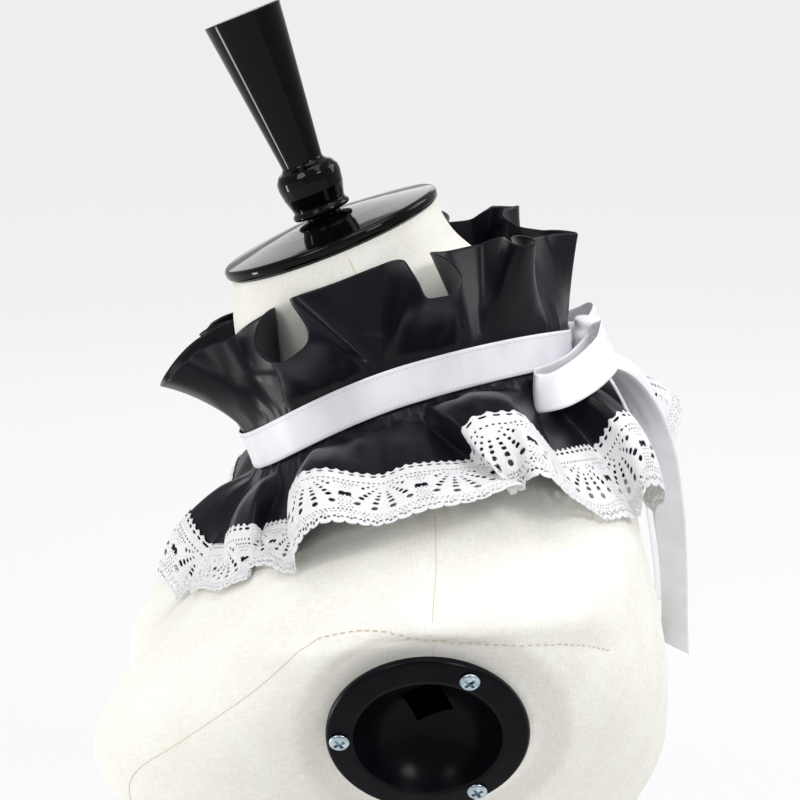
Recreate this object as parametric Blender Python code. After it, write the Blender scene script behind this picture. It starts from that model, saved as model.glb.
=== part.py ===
# Ruffled collar of black satin, white lace and white ribbon, worn on a limbless dress form.
# The form stands on z = 0 and faces -Y. Its left side, the side nearest the viewer, is +X.
# The tables are in millimetres and degrees. Heights in them are measured from a level at the
# neck that lies NECK_LEVEL above the base. Angles run round the neck: 0 front, 90 left side,
# 180 back.

import math

import bmesh
import bpy
import numpy as np
from mathutils import Vector
from mathutils.bvhtree import BVHTree

MM = 0.001
NECK_LEVEL = 330.0

WALL = 1.0            # thickness of every cloth wall
SEAM_GAP = 0.3        # left between two pieces that are sewn or rest together
FORM_GAP = 0.6        # left between the form and the cloth round the neck
UPPER_FREE_GAP = 1.6  # least distance from the form to the middle of the upper frill's wall
LOWER_FREE_GAP = 3.4  # the same for the lower frill, which has the lace on it

UPPER_HEIGHT = 44.0
ROOT_WIDTH = 7.6      # of each frill, sewn down under the ribbon
STRAIGHT = 1.0        # how far a frill leaves the ribbon before it bends away
LOWER_SATIN = 62.0
LACE_START = 42.0
LACE_END = 78.0
LACE_LOBE = 1.2       # the lace's lower edge swings this far each way
LACE_REPEAT = 4       # columns of the frill in one lobe

FRILL_COLUMNS = 101
SHARPEST_FOLD = 60.0  # degrees between two columns of the lower frill
RIBBON_COLUMNS = 72
FORM_COLUMNS = 40

BOW_RIBBON = 17.0
CAP_TILT = 22.9
CAP_CENTRE = (0.0, -31.5, 75.5)
PLATE_TILT = 21.0
PLATE_CENTRE = (160.0, 11.0, -98.0)
PLATE_RADIUS = 40.5
SOCKET_SIDE = 16.0
SOCKET_TURN = 25.0
SCREW_CIRCLE = 35.0
SCREW_ANGLES = (63.0, 187.0, 303.0)
POCKET_RADIUS = 32.0
POCKET_DEPTH = 38.5

# A level ring of the form: height at front, side and back; depth at front, side and back;
# half width; how far each bust point stands out; squareness of the outline.
FORM_RINGS = (
    # z_f   z_s    z_b    y_f    y_s   y_b   half  bust square
    (-330, -330, -330, -88, -4, 78, 116, 0, 2.2),
    (-316, -316, -316, -86, -4, 76, 113, 0, 2.2),
    (-285, -285, -285, -82, -4, 72, 107, 0, 2.2),
    (-240, -240, -240, -92, -4, 84, 113, 4, 2.2),
    (-195, -195, -195, -107, -3, 104, 125, 14, 2.3),
    (-145, -145, -145, -122, -1, 126, 142, 27, 2.4),
    (-119, -118, -116, -114, 2, 124, 159, 21, 2.6),
    (-100, -90, -88, -103, 10, 119, 172, 14, 2.6),
    (-84, -56, -58, -94, 13, 111, 178, 4, 2.4),
    (-66, -31, -33, -85, 12, 105, 138, 0, 2.2),
    (-51, -11, -10, -76, 10, 94, 101, 0, 2.0),
    (-39, 2, 6, -69, 6, 82, 74, 0, 2.0),
)
# The same columns for the rings round the neck.
RIBBON_LOW = (-29.5, 13.5, 18.0, -66.0, 3.0, 77.0, 65.5, 0, 2.0)
RIBBON_TOP = (-13.0, 30.0, 34.0, -72.5, 0.0, 76.0, 61.0, 0, 2.0)
NECK_RINGS = (
    RIBBON_LOW,
    RIBBON_TOP,
    (18, 46, 60, -74, -14, 48, 54, 0, 2.0),
    (42, 62, 80, -76.5, -26, 24, 51, 0, 2.0),
    (56, 75.5, 95, -77.5, -31.5, 14.5, 50, 0, 2.0),
)

# The upper frill, one row for each fold line. Seam is where the line leaves the ribbon, lean
# tips it round the neck, flare tips it away from the neck.
UPPER_FRONT = (
    # seam  lean  flare
    (-47.0, 16, -4),
    (-44.0, 22, 18),
    (-38.0, 10, 32),
    (-28.0, -8, 34),
    (-20.0, -12, 24),
    (-15.5, -18, 4),
    (-13.0, -22, -10),
    (-10.0, -14, 8),
    (-6.0, -16, 22),
    (-1.0, -18, 30),
    (5.0, -18, 37),
    (13.0, -12, 39),
    (23.0, -10, 36),
    (34.0, -18, 22),
    (41.0, -30, 4),
)
UPPER_LEFT = (
    (43.6, -27, -8),
    (44.8, -18, -12),
    (46.0, 6, -8),
    (47.2, 27, 0),
    (48.6, 28, 24),
    (51.0, 25, 46),
    (57.0, 19, 63),
    (65.0, 10, 69),
    (73.0, 4, 64),
    (78.0, -8, 54),
    (81.0, -24, 28),
    (82.4, -31, 6),
    (83.6, -10, -2),
    (84.8, 20, 0),
    (86.2, 30, 20),
    (89.0, 28, 44),
    (96.0, 13, 60),
    (105.0, 4, 60),
    (110.0, 0, 50),
    (112.6, -8, 30),
    (113.8, -14, 4),
    (115.0, 0, -12),
    (117.0, 20, -12),
    (119.4, 22, 4),
    (126.0, 4, 20),
    (134.0, -10, 27),
    (141.0, -18, 24),
    (146.0, -24, 14),
    (148.6, -26, -2),
    (150.4, -18, -14),
    (154.0, 0, -18),
    (161.0, 8, -12),
    (169.0, 0, -5),
    (174.5, -4, 3),
    (178.0, -6, 9),
)

# The lower frill. Root and edge are the flare at the ribbon and at the lace's lower edge,
# measured from straight down.
LOWER_FRONT = (
    # seam  lean  root  edge
    (-50.0, -4, 34, 4),
    (-46.0, 4, 58, 2),
    (-40.0, 8, 84, 14),
    (-30.0, 2, 92, 22),
    (-20.0, -6, 84, 14),
    (-14.0, -10, 58, 4),
    (-10.0, 8, 70, 8),
    (-4.0, 4, 92, 26),
    (3.0, -6, 100, 34),
    (10.0, -14, 93, 22),
    (16.0, -22, 78, 4),
)
LOWER_LEFT = (
    (19.5, -16, 62, -6),
    (22.5, 2, 76, -10),
    (26.0, 8, 92, -6),
    (31.0, 12, 96, 0),
    (36.0, 15, 90, 0),
    (39.5, 6, 64, -10),
    (43.0, -6, 36, -2),
    (46.6, 4, 38, 12),
    (50.0, 11, 64, 20),
    (53.0, 13, 88, 26),
    (57.0, 17, 98, 33),
    (66.0, 8, 88, 44),
    (73.0, 6, 68, 52),
    (80.0, 2, 54, 60),
    (86.0, 3, 58, 55),
    (90.0, 14, 46, 64),
    (92.2, 25, 34, 76),
    (94.2, 23, 62, 48),
    (96.0, 15, 92, 16),
    (100.0, 10, 110, -6),
    (108.0, -1, 113, -5),
    (114.5, -9, 110, 0),
    (121.0, -18, 98, 28),
    (128.0, -25, 68, 56),
    (133.0, -16, 32, 58),
    (136.5, 6, 14, 36),
    (139.5, 10, 46, 16),
    (143.0, 3, 88, 0),
    (149.0, -4, 94, -2),
    (157.0, -8, 86, 8),
    (163.0, -10, 60, 18),
    (167.5, -2, 36, 26),
    (173.0, 2, 30, 26),
    (178.0, 0, 26, 26),
)
# The back of the right side, where the lower frill stands out behind the bow.
LOWER_BACK_RIGHT = (
    (-178.0, 0, 24, 22),
    (-173.0, -2, 26, 24),
    (-169.0, -4, 50, 42),
    (-164.0, 2, 84, 60),
    (-157.0, 0, 92, 56),
    (-151.0, 4, 80, 36),
    (-146.0, 8, 46, 26),
)

# Turned profiles, as radius and height along the axis.
CAP_PROFILE = (
    (0, 0), (49.6, 0), (51.0, 1.2), (51.0, 3.6), (49.8, 4.7), (42.0, 6.2),
    (30.0, 8.4), (18.0, 10.4), (8.5, 11.4), (0, 11.4),
)
FINIAL_PROFILE = (
    (0, 11.7), (7.6, 11.7), (7.2, 13.6), (8.6, 15.4), (12.4, 16.4), (13.0, 17.8), (12.4, 19.3),
    (10.4, 20.4), (12.6, 23.4), (15.0, 28.0), (15.6, 32.0), (14.6, 35.6), (12.0, 38.4),
    (9.9, 39.8), (9.6, 41.2), (17.4, 114.0), (18.0, 115.6), (17.4, 116.6), (0, 116.6),
)
PLATE_PROFILE = (
    (0, -36.0), (13.6, -36.0), (13.6, -19.6), (21.0, -15.0), (26.6, -9.0), (29.8, 0.3),
    (PLATE_RADIUS, 0.3), (PLATE_RADIUS, 3.6), (39.4, 4.8), (31.2, 5.2), (29.2, 4.4),
    (27.8, 0.0), (24.6, -7.4), (19.4, -13.0), (12.0, -16.6), (5.0, -18.0), (0, -18.2),
)
SCREW_PROFILE = ((0, 5.5), (4.0, 5.5), (4.0, 6.2), (2.9, 7.4), (0, 7.9))

# Middle line of each ribbon piece of the bow, and the way its width lies.
LOOP_LINE = (
    # x     y     z     width x  y     z
    (9.0, 90.0, 31.0, 0.05, 0.97, 0.22),
    (20.0, 90.5, 36.5, 0.25, 0.94, 0.22),
    (34.0, 86.0, 38.5, 0.45, 0.86, 0.22),
    (47.0, 77.0, 35.5, 0.60, 0.77, 0.20),
    (56.5, 67.0, 29.5, 0.70, 0.70, 0.12),
    (61.5, 61.5, 23.6, 0.76, 0.65, 0.0),
    (61.0, 62.5, 18.6, 0.76, 0.65, -0.08),
    (54.9, 70.9, 17.8, 0.66, 0.74, -0.12),
    (44.4, 79.6, 20.0, 0.54, 0.83, -0.10),
    (32.4, 86.0, 21.8, 0.38, 0.91, 0.0),
    (20.0, 90.2, 24.4, 0.22, 0.97, 0.10),
    (9.0, 91.0, 26.2, 0.05, 0.99, 0.12),
)
TAIL_LEFT_LINE = (
    (5.8, 87.0, 16.3, 1.00, 0.10, 0.00),
    (7.8, 93.5, 14.6, 0.96, 0.28, 0.06),
    (10.0, 102.0, 10.6, 0.88, 0.46, 0.14),
    (15.0, 111.0, 3.6, 0.76, 0.62, 0.16),
    (19.5, 118.0, -7.0, 0.66, 0.74, 0.12),
    (22.5, 123.0, -23.0, 0.60, 0.79, 0.06),
    (23.5, 126.5, -46.0, 0.62, 0.78, 0.02),
    (24.0, 129.8, -73.0, 0.76, 0.65, 0.0),
    (23.6, 131.2, -96.0, 0.80, 0.60, 0.0),
    (23.0, 131.8, -113.0, 0.74, 0.67, 0.0),
)
TAIL_RIGHT_LINE = (
    (-5.8, 87.0, 16.3, -1.00, 0.10, 0.00),
    (-7.4, 93.5, 14.6, -0.92, 0.40, 0.06),
    (-7.6, 102.5, 10.6, -0.66, 0.75, 0.14),
    (-7.0, 111.0, 3.6, -0.42, 0.90, 0.16),
    (-6.2, 117.0, -7.0, -0.35, 0.93, 0.12),
    (-4.6, 121.5, -23.0, -0.36, 0.93, 0.06),
    (-4.2, 125.5, -46.0, -0.48, 0.88, 0.0),
    (-5.0, 129.0, -70.0, -0.62, 0.78, 0.0),
    (-6.0, 130.6, -88.0, -0.72, 0.69, 0.0),
    (-6.2, 131.0, -98.0, -0.70, 0.71, 0.0),
)
KNOT_CENTRE = (0.0, 85.9, 26.6)
KNOT_HALF = (8.2, 5.8, 9.4)


def clear_scene():
    for obj in list(bpy.data.objects):
        bpy.data.objects.remove(obj, do_unlink=True)


def material(name, colour, roughness, metallic=0.0):
    made = bpy.data.materials.new(name)
    made.use_nodes = True
    shader = made.node_tree.nodes["Principled BSDF"]
    shader.inputs["Base Color"].default_value = (*colour, 1.0)
    shader.inputs["Roughness"].default_value = roughness
    shader.inputs["Metallic"].default_value = metallic
    made.diffuse_color = (*colour, 1.0)
    return made


def lifted(points):
    return (np.asarray(points, float) + (0.0, 0.0, NECK_LEVEL)) * MM


def add_object(name, points, faces, look, smooth=True):
    mesh = bpy.data.meshes.new(name)
    mesh.from_pydata([tuple(p) for p in lifted(points)], [], [tuple(f) for f in faces])
    work = bmesh.new()
    work.from_mesh(mesh)
    bmesh.ops.recalc_face_normals(work, faces=work.faces[:])
    if work.calc_volume(signed=True) < 0:
        bmesh.ops.reverse_faces(work, faces=work.faces[:])
    for face in work.faces:
        face.smooth = smooth
    work.to_mesh(mesh)
    work.free()
    mesh.materials.append(look)
    obj = bpy.data.objects.new(name, mesh)
    bpy.context.scene.collection.objects.link(obj)
    return obj


def unit(vectors):
    length = np.linalg.norm(vectors, axis=-1, keepdims=True)
    return vectors / np.maximum(length, 1e-9)


def curve_through(stations, values, wanted):
    # A smooth curve through the values that never swings past them.
    x = np.asarray(stations, float)
    y = np.asarray(values, float)
    if y.ndim == 1:
        y = y[:, None]
    step = np.diff(x)[:, None]
    slope = np.diff(y, axis=0) / step
    tangent = np.zeros_like(y)
    before, after = slope[:-1], slope[1:]
    agree = before * after > 0
    weight_a = 2 * step[1:] + step[:-1]
    weight_b = step[1:] + 2 * step[:-1]
    safe_before = np.where(agree, before, 1.0)
    safe_after = np.where(agree, after, 1.0)
    mean = (weight_a + weight_b) / (weight_a / safe_before + weight_b / safe_after)
    tangent[1:-1] = np.where(agree, mean, 0.0)
    tangent[0] = slope[0]
    tangent[-1] = slope[-1]
    wanted = np.asarray(wanted, float)
    cell = np.clip(np.searchsorted(x, wanted, side="right") - 1, 0, len(x) - 2)
    width = step[cell]
    t = (wanted[:, None] - x[cell][:, None]) / width
    start = (1 + 2 * t) * (1 - t) ** 2 * y[cell] + t * (1 - t) ** 2 * width * tangent[cell]
    end = t * t * (3 - 2 * t) * y[cell + 1] + t * t * (t - 1) * width * tangent[cell + 1]
    return start + end


def ring_points(ring, angles):
    z_front, z_side, z_back, y_front, y_side, y_back, half, bust, square = ring
    cosine, sine = np.cos(angles), np.sin(angles)
    power = 2.0 / square
    x = half * np.sign(sine) * np.abs(sine) ** power
    reach = np.where(cosine > 0, y_front - y_side, y_side - y_back)
    y = y_side + reach * np.sign(cosine) * np.abs(cosine) ** power
    rise = np.abs(sine) ** np.where(cosine > 0, 2.0, 1.3)
    middle = (z_front + z_back) / 2
    z = middle + (z_front - z_back) / 2 * cosine + (z_side - middle) * rise
    y = y - bust * np.exp(-(((np.abs(x) - 78.0) / 42.0) ** 2)) * np.clip(cosine, 0, 1) ** 0.5
    return np.stack([x, y, z], axis=-1)


def neck_frame(angles):
    # Points on the ribbon's two edges, and the directions along, up and away from the neck.
    low = ring_points(RIBBON_LOW, angles)
    top = ring_points(RIBBON_TOP, angles)
    turn = 1e-3
    ahead = ring_points(RIBBON_LOW, angles + turn) + ring_points(RIBBON_TOP, angles + turn)
    behind = ring_points(RIBBON_LOW, angles - turn) + ring_points(RIBBON_TOP, angles - turn)
    along = unit(ahead - behind)
    up = top - low
    up = unit(up - along * np.sum(up * along, axis=-1, keepdims=True))
    out = np.cross(along, up)
    return low, top, along, up, out


def frill_rows(front, left, back_right=()):
    # The right side is the left side mirrored, a little shallower and shifted along the seam.
    mirrored = []
    for row in reversed(left):
        seam = -(row[0] * 0.985 + 1.2)
        if seam < front[0][0] - 1.0:
            mirrored.append((seam, -row[1] * 0.9) + tuple(0.94 * v for v in row[2:]))
    if back_right:
        mirrored = [row for row in mirrored if row[0] > back_right[-1][0] + 2.0]
    return np.array(list(back_right) + mirrored + list(front) + list(left), float)


def frill_columns(rows, count, edge_of):
    # Columns spaced evenly by the run of the frill's free edge and of its seam together.
    edge_step = np.linalg.norm(np.diff(edge_of(rows), axis=0), axis=1)
    seam_step = np.diff(rows[:, 0])
    run = np.concatenate([[0.0], np.cumsum(edge_step + 1.2 * seam_step)])
    return curve_through(run, rows, np.linspace(0.0, run[-1], count))


def frill_grid(rows, distances, length, downward, ramp):
    # Middle surface of a frill's wall: one line of points for each row, out from the ribbon.
    angles = np.radians(rows[:, 0])
    low, top, along, up, out = neck_frame(angles)
    start = (low if downward else top) + (FORM_GAP + WALL / 2) * out
    away = -up if downward else up
    lean = np.radians(rows[:, 1])
    root = np.radians(rows[:, 2])
    edge = np.radians(rows[:, 3]) if rows.shape[1] > 3 else root * 1.4
    if rows.shape[1] < 4:
        root = root * 0.6
    steps = 160
    step = length / steps
    place = start.copy()
    line = [place.copy()]
    for i in range(steps):
        share = (i + 0.5) / steps
        ease = min(1.0, max(0.0, share * length - STRAIGHT) / ramp)
        ease = ease * ease * (3 - 2 * ease)
        tip = (root + (edge - root) * share) * ease
        side = lean * ease
        way = np.cos(side)[:, None] * (
            np.cos(tip)[:, None] * away + np.sin(tip)[:, None] * out
        ) + np.sin(side)[:, None] * along
        place = place + way * step
        line.append(place.copy())
    line = np.array(line)
    grid = []
    for distance in distances:
        if distance <= 0:
            grid.append(start + away * distance)
            continue
        exact = distance / step
        below = min(int(exact), steps - 1)
        grid.append(line[below] + (line[below + 1] - line[below]) * (exact - below))
    return np.stack(grid, axis=1)


def mean_direction(grid, axis):
    # The direction through each point that lies halfway between the steps on either side.
    step = unit(np.diff(grid, axis=axis))
    first = np.take(step, [0], axis=axis)
    last = np.take(step, [-1], axis=axis)
    ahead = np.concatenate([step, last], axis=axis)
    behind = np.concatenate([first, step], axis=axis)
    return unit(ahead + behind)


def grid_normals(grid, downward):
    normal = unit(np.cross(mean_direction(grid, 0), mean_direction(grid, 1)))
    return -normal if downward else normal


def corner_normals(grid, normals):
    # Normals lengthened at a fold, so that what is moved out by them keeps its distance.
    step = unit(np.diff(grid, axis=0))
    ahead = np.concatenate([step, step[-1:]])
    behind = np.concatenate([step[:1], step])
    half_turn = np.sqrt(np.clip((1 + np.sum(ahead * behind, axis=-1)) / 2, 0.3, 1.0))
    return normals / half_turn[..., None]


def height_above(tree, place):
    near, normal, _, _ = tree.find_nearest(Vector(place))
    return (Vector(place) - near).dot(normal), np.array(normal)


def soften(grid, distances, sharpest, rounds):
    # Opens any fold that turns more than this between two columns, beyond the first stretch.
    first = sum(1 for d in distances if d < 12.0)
    limit = math.cos(math.radians(sharpest))
    for _ in range(rounds):
        step = unit(np.diff(grid, axis=0))
        bend = np.sum(step[1:] * step[:-1], axis=-1)
        sharp = (bend < limit).astype(float)
        sharp[:, :first] = 0.0
        sharp[:, first:] = np.maximum(sharp[:, first:], sharp[:, first:].max(axis=1, keepdims=True) * 0.5)
        middle = (grid[:-2] + grid[2:]) / 2
        grid[1:-1] += (middle - grid[1:-1]) * 0.5 * sharp[..., None]
    return grid


def push_clear(grid, distances, tree, gap):
    # Moves what comes too near the form straight out from it: first the points, and then each
    # cell's corners by what its middle still lacks. The gap grows from the ribbon outwards.
    need = np.minimum(gap, FORM_GAP + WALL / 2 + 0.45 * np.clip(np.array(distances) - STRAIGHT, 0.0, None))
    first = sum(1 for d in distances if d <= 0)
    for i in range(grid.shape[0]):
        for j in range(first, grid.shape[1]):
            height, normal = height_above(tree, grid[i, j])
            if height < need[j]:
                grid[i, j] += normal * (need[j] - height)
    for _ in range(3):
        move = np.zeros_like(grid)
        for i in range(grid.shape[0] - 1):
            for j in range(first, grid.shape[1] - 1):
                for a, b in ((0.5, 0.5), (0.5, 0.0), (0.5, 1.0), (0.0, 0.5)):
                    low_side = grid[i, j] * (1 - b) + grid[i, j + 1] * b
                    high_side = grid[i + 1, j] * (1 - b) + grid[i + 1, j + 1] * b
                    height, normal = height_above(tree, low_side * (1 - a) + high_side * a)
                    lack = need[j] * (1 - b) + need[j + 1] * b - height
                    if lack <= 0:
                        continue
                    for m in (i, i + 1):
                        for n in (j, j + 1):
                            if lack > np.linalg.norm(move[m, n]):
                                move[m, n] = normal * lack
        grid += move
    return grid


def wall_faces(columns, stations, closed=False):
    # Each cell of both sides is split along the same diagonal, so two walls that lie on each
    # other keep their distance where a fold twists.
    count = columns * stations
    faces = []
    last = columns if closed else columns - 1
    for i in range(last):
        k = (i + 1) % columns
        for j in range(stations - 1):
            a, b = i * stations + j, k * stations + j
            faces.append((a, b, b + 1))
            faces.append((a, b + 1, a + 1))
            faces.append((b + count + 1, b + count, a + count))
            faces.append((a + count + 1, b + count + 1, a + count))
        for j in (0, stations - 1):
            a, b = i * stations + j, k * stations + j
            faces.append((a, b, b + count, a + count))
    if not closed:
        for i in (0, columns - 1):
            for j in range(stations - 1):
                a = i * stations + j
                faces.append((a, a + 1, a + 1 + count, a + count))
    return faces


def wall_object(name, grid, normals, look, thickness=WALL, closed=False):
    outer = grid + normals * thickness / 2
    inner = grid - normals * thickness / 2
    points = np.concatenate([outer.reshape(-1, 3), inner.reshape(-1, 3)])
    return add_object(name, points, wall_faces(grid.shape[0], grid.shape[1], closed), look)


def turned_object(name, profile, centre, axis, look, sides):
    axis = unit(np.array(axis, float))
    first = unit(np.cross(axis, (1.0, 0.0, 0.0) if abs(axis[0]) < 0.7 else (0.0, 1.0, 0.0)))
    second = np.cross(axis, first)
    centre = np.array(centre, float)
    points = [centre + axis * profile[0][1]]
    for radius, height in profile[1:-1]:
        for k in range(sides):
            turn = 2 * math.pi * k / sides
            spoke = first * math.cos(turn) + second * math.sin(turn)
            points.append(centre + axis * height + spoke * radius)
    points.append(centre + axis * profile[-1][1])
    rings = len(profile) - 2
    faces = []
    for k in range(sides):
        n = (k + 1) % sides
        faces.append((0, 1 + k, 1 + n))
        top = 1 + (rings - 1) * sides
        faces.append((len(points) - 1, top + n, top + k))
        for i in range(rings - 1):
            a, b = 1 + i * sides, 1 + (i + 1) * sides
            faces.append((a + k, b + k, b + n, a + n))
    return add_object(name, points, faces, look)


def make_form(look):
    levels = FORM_RINGS + NECK_RINGS
    angles = np.linspace(0, 2 * math.pi, FORM_COLUMNS, endpoint=False)
    rings = np.array([ring_points(ring, angles) for ring in levels])
    run = np.concatenate([[0.0], np.cumsum(np.linalg.norm(np.diff(rings, axis=0), axis=2).mean(axis=1))])
    wanted = []
    for i in range(len(run) - 1):
        parts = 1 if levels[i] is RIBBON_LOW or i in (0, 1, 2) else 2
        wanted += [run[i] + (run[i + 1] - run[i]) * k / parts for k in range(parts)]
    wanted.append(run[-1])
    flat = curve_through(run, rings.reshape(len(levels), -1), wanted)
    skin = flat.reshape(len(wanted), FORM_COLUMNS, 3)
    points = skin.reshape(-1, 3)
    faces = []
    for i in range(len(wanted) - 1):
        for k in range(FORM_COLUMNS):
            n = (k + 1) % FORM_COLUMNS
            a, b = i * FORM_COLUMNS, (i + 1) * FORM_COLUMNS
            faces.append((a + k, a + n, b + n, b + k))
    tree = BVHTree.FromPolygons([Vector(p) for p in points], faces)
    bottom = tuple(range(FORM_COLUMNS))[::-1]
    crown = tuple(range(len(points) - FORM_COLUMNS, len(points)))
    form = add_object("form_torso", points, faces + [bottom, crown], look)
    return form, tree


def side_cutter(name, side):
    # Cuts the arm end flat and sinks the pocket behind the arm plate.
    axis, centre = plate_axis(side)
    profile = (
        (0, -POCKET_DEPTH), (POCKET_RADIUS, -POCKET_DEPTH), (POCKET_RADIUS, 0.0),
        (80.0, 0.0), (80.0, 50.0), (0, 50.0),
    )
    look = bpy.data.materials.get("Linen")
    cutter = turned_object(name, profile, centre, axis, look, 48)
    cutter.hide_render = True
    return cutter


def cut(target, cutter):
    modifier = target.modifiers.new(cutter.name, "BOOLEAN")
    modifier.operation = "DIFFERENCE"
    modifier.solver = "EXACT"
    modifier.object = cutter


def plate_axis(side):
    tilt = math.radians(PLATE_TILT)
    axis = np.array([side * math.cos(tilt), 0.0, -math.sin(tilt)])
    centre = np.array([side * PLATE_CENTRE[0], PLATE_CENTRE[1], PLATE_CENTRE[2]])
    return axis, centre


def make_arm_plate(side, word, plastic, steel):
    axis, centre = plate_axis(side)
    level = np.array([0.0, 1.0, 0.0])
    high = unit(np.cross(axis, level)) * -side
    plate = turned_object("arm_plate_" + word, PLATE_PROFILE, centre, axis, plastic, 28)
    turn = math.radians(SOCKET_TURN)
    right = level * math.cos(turn) - high * math.sin(turn)
    above = level * math.sin(turn) + high * math.cos(turn)
    half = SOCKET_SIDE / 2
    corners = [(-half, -half), (half, -half), (half, half), (-half, half)]
    points = []
    for depth in (-33.0, 20.0):
        for a, b in corners:
            points.append(centre + right * a + above * b + axis * depth)
    faces = [(0, 1, 2, 3), (7, 6, 5, 4), (0, 4, 5, 1), (1, 5, 6, 2), (2, 6, 7, 3), (3, 7, 4, 0)]
    cutter = add_object("socket_cutter_" + word, points, faces, plastic, smooth=False)
    cutter.hide_render = True
    cut(plate, cutter)
    for number, angle in enumerate(SCREW_ANGLES, start=1):
        spot = math.radians(angle)
        place = centre + (level * math.cos(spot) + high * math.sin(spot)) * SCREW_CIRCLE
        turned_object(f"plate_screw_{word}_{number}", SCREW_PROFILE, place, axis, steel, 14)


def strip_object(name, line, count, look, width=BOW_RIBBON, mirror=False, squeeze=0.0):
    # A ribbon of the bow: its middle line smoothed, and its wall across the given width.
    rows = np.array(line, float)
    if mirror:
        rows = rows * (-1, 1, 1, -1, 1, 1)
    run = np.concatenate([[0.0], np.cumsum(np.linalg.norm(np.diff(rows[:, :3], axis=0), axis=1))])
    wanted = np.linspace(0.0, run[-1], count)
    fine = curve_through(run, rows, wanted)
    middle = fine[:, :3]
    forward = unit(np.gradient(middle, axis=0))
    across = fine[:, 3:]
    across = unit(across - forward * np.sum(across * forward, axis=1, keepdims=True))
    share = wanted / run[-1]
    near_knot = np.minimum(share, 1 - share) if squeeze < 0 else share
    narrow = 1 - abs(squeeze) * np.clip(1 - near_knot / 0.16, 0, 1) ** 2
    stations = np.array([-0.5, -0.17, 0.17, 0.5])
    grid = middle[:, None, :] + across[:, None, :] * (stations[None, :, None] * (width * narrow)[:, None, None])
    normals = np.broadcast_to(np.cross(forward, across)[:, None, :], grid.shape)
    return wall_object(name, grid, normals, look)


def make_knot(look):
    # A soft block with its four long edges rounded and a slight waist.
    levels = ((-1.0, 0.80), (-0.82, 0.94), (-0.4, 1.0), (0.4, 1.0), (0.82, 0.94), (1.0, 0.80))
    sides = 20
    points = []
    for height, size in levels:
        for k in range(sides):
            turn = 2 * math.pi * (k + 0.5) / sides
            c, s = math.cos(turn), math.sin(turn)
            x = math.copysign(abs(c) ** 0.55, c) * KNOT_HALF[0] * size
            y = math.copysign(abs(s) ** 0.55, s) * KNOT_HALF[1] * size
            points.append((KNOT_CENTRE[0] + x, KNOT_CENTRE[1] + y, KNOT_CENTRE[2] + height * KNOT_HALF[2]))
    faces = []
    for i in range(len(levels) - 1):
        for k in range(sides):
            n = (k + 1) % sides
            a, b = i * sides, (i + 1) * sides
            faces.append((a + k, a + n, b + n, b + k))
    faces.append(tuple(range(sides))[::-1])
    faces.append(tuple(range((len(levels) - 1) * sides, len(levels) * sides)))
    return add_object("bow_knot", points, faces, look)


def make_upper_frill(tree, look):
    distances = (-ROOT_WIDTH, 0.0, 3.0, 8.0, 17.0, 26.0, 35.0, UPPER_HEIGHT)
    rows = frill_rows(UPPER_FRONT, UPPER_LEFT)

    def edge_of(lines):
        return frill_grid(lines, (UPPER_HEIGHT,), UPPER_HEIGHT, False, 6.0)[:, 0]

    rows = frill_columns(rows, FRILL_COLUMNS, edge_of)
    grid = frill_grid(rows, distances, UPPER_HEIGHT, False, 6.0)
    grid = push_clear(grid, distances, tree, UPPER_FREE_GAP)
    wall_object("frill_upper", grid, grid_normals(grid, False), look)


def make_lower_frill(tree, satin, lace):
    rows = frill_rows(LOWER_FRONT, LOWER_LEFT, LOWER_BACK_RIGHT)

    def edge_of(lines):
        return frill_grid(lines, (LACE_END,), LACE_END, True, 9.0)[:, 0]

    distances = (-ROOT_WIDTH, 0.0, 2.5, 7.0, 14.0, 24.0, 34.0, LACE_START, 52.0, LOWER_SATIN, 70.0, LACE_END)
    satin_end = distances.index(LOWER_SATIN) + 1
    lace_start = distances.index(LACE_START)
    fine = frill_columns(rows, FRILL_COLUMNS, edge_of)
    grid = frill_grid(fine, distances, LACE_END, True, 9.0)
    grid = soften(grid, distances, SHARPEST_FOLD, 30)
    grid = push_clear(grid, distances, tree, LOWER_FREE_GAP)
    normals = grid_normals(grid, True)
    wall_object("frill_lower", grid[:, :satin_end], normals[:, :satin_end], satin)

    # The lace lies on the satin's own points, moved out along its face.
    over = grid[:, lace_start:] + corner_normals(grid, normals)[:, lace_start:] * (WALL + SEAM_GAP)
    hem = unit(over[:, -1] - over[:, -2])
    lobe = LACE_LOBE * np.cos(2 * math.pi * np.arange(FRILL_COLUMNS) / LACE_REPEAT)
    over[:, -1] += hem * lobe[:, None]
    wall_object("lace_trim", over, normals[:, lace_start:], lace)


def make_ribbon(look):
    angles = np.linspace(0, 2 * math.pi, RIBBON_COLUMNS, endpoint=False)
    low, top, _, _, out = neck_frame(angles)
    lift = FORM_GAP + WALL + SEAM_GAP + WALL / 2
    shares = np.array([0.05, 1.0])
    grid = low[:, None, :] + (top - low)[:, None, :] * shares[None, :, None] + out[:, None, :] * lift
    normals = np.broadcast_to(out[:, None, :], grid.shape)
    wall_object("neck_ribbon", grid, normals, look, closed=True)


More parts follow.
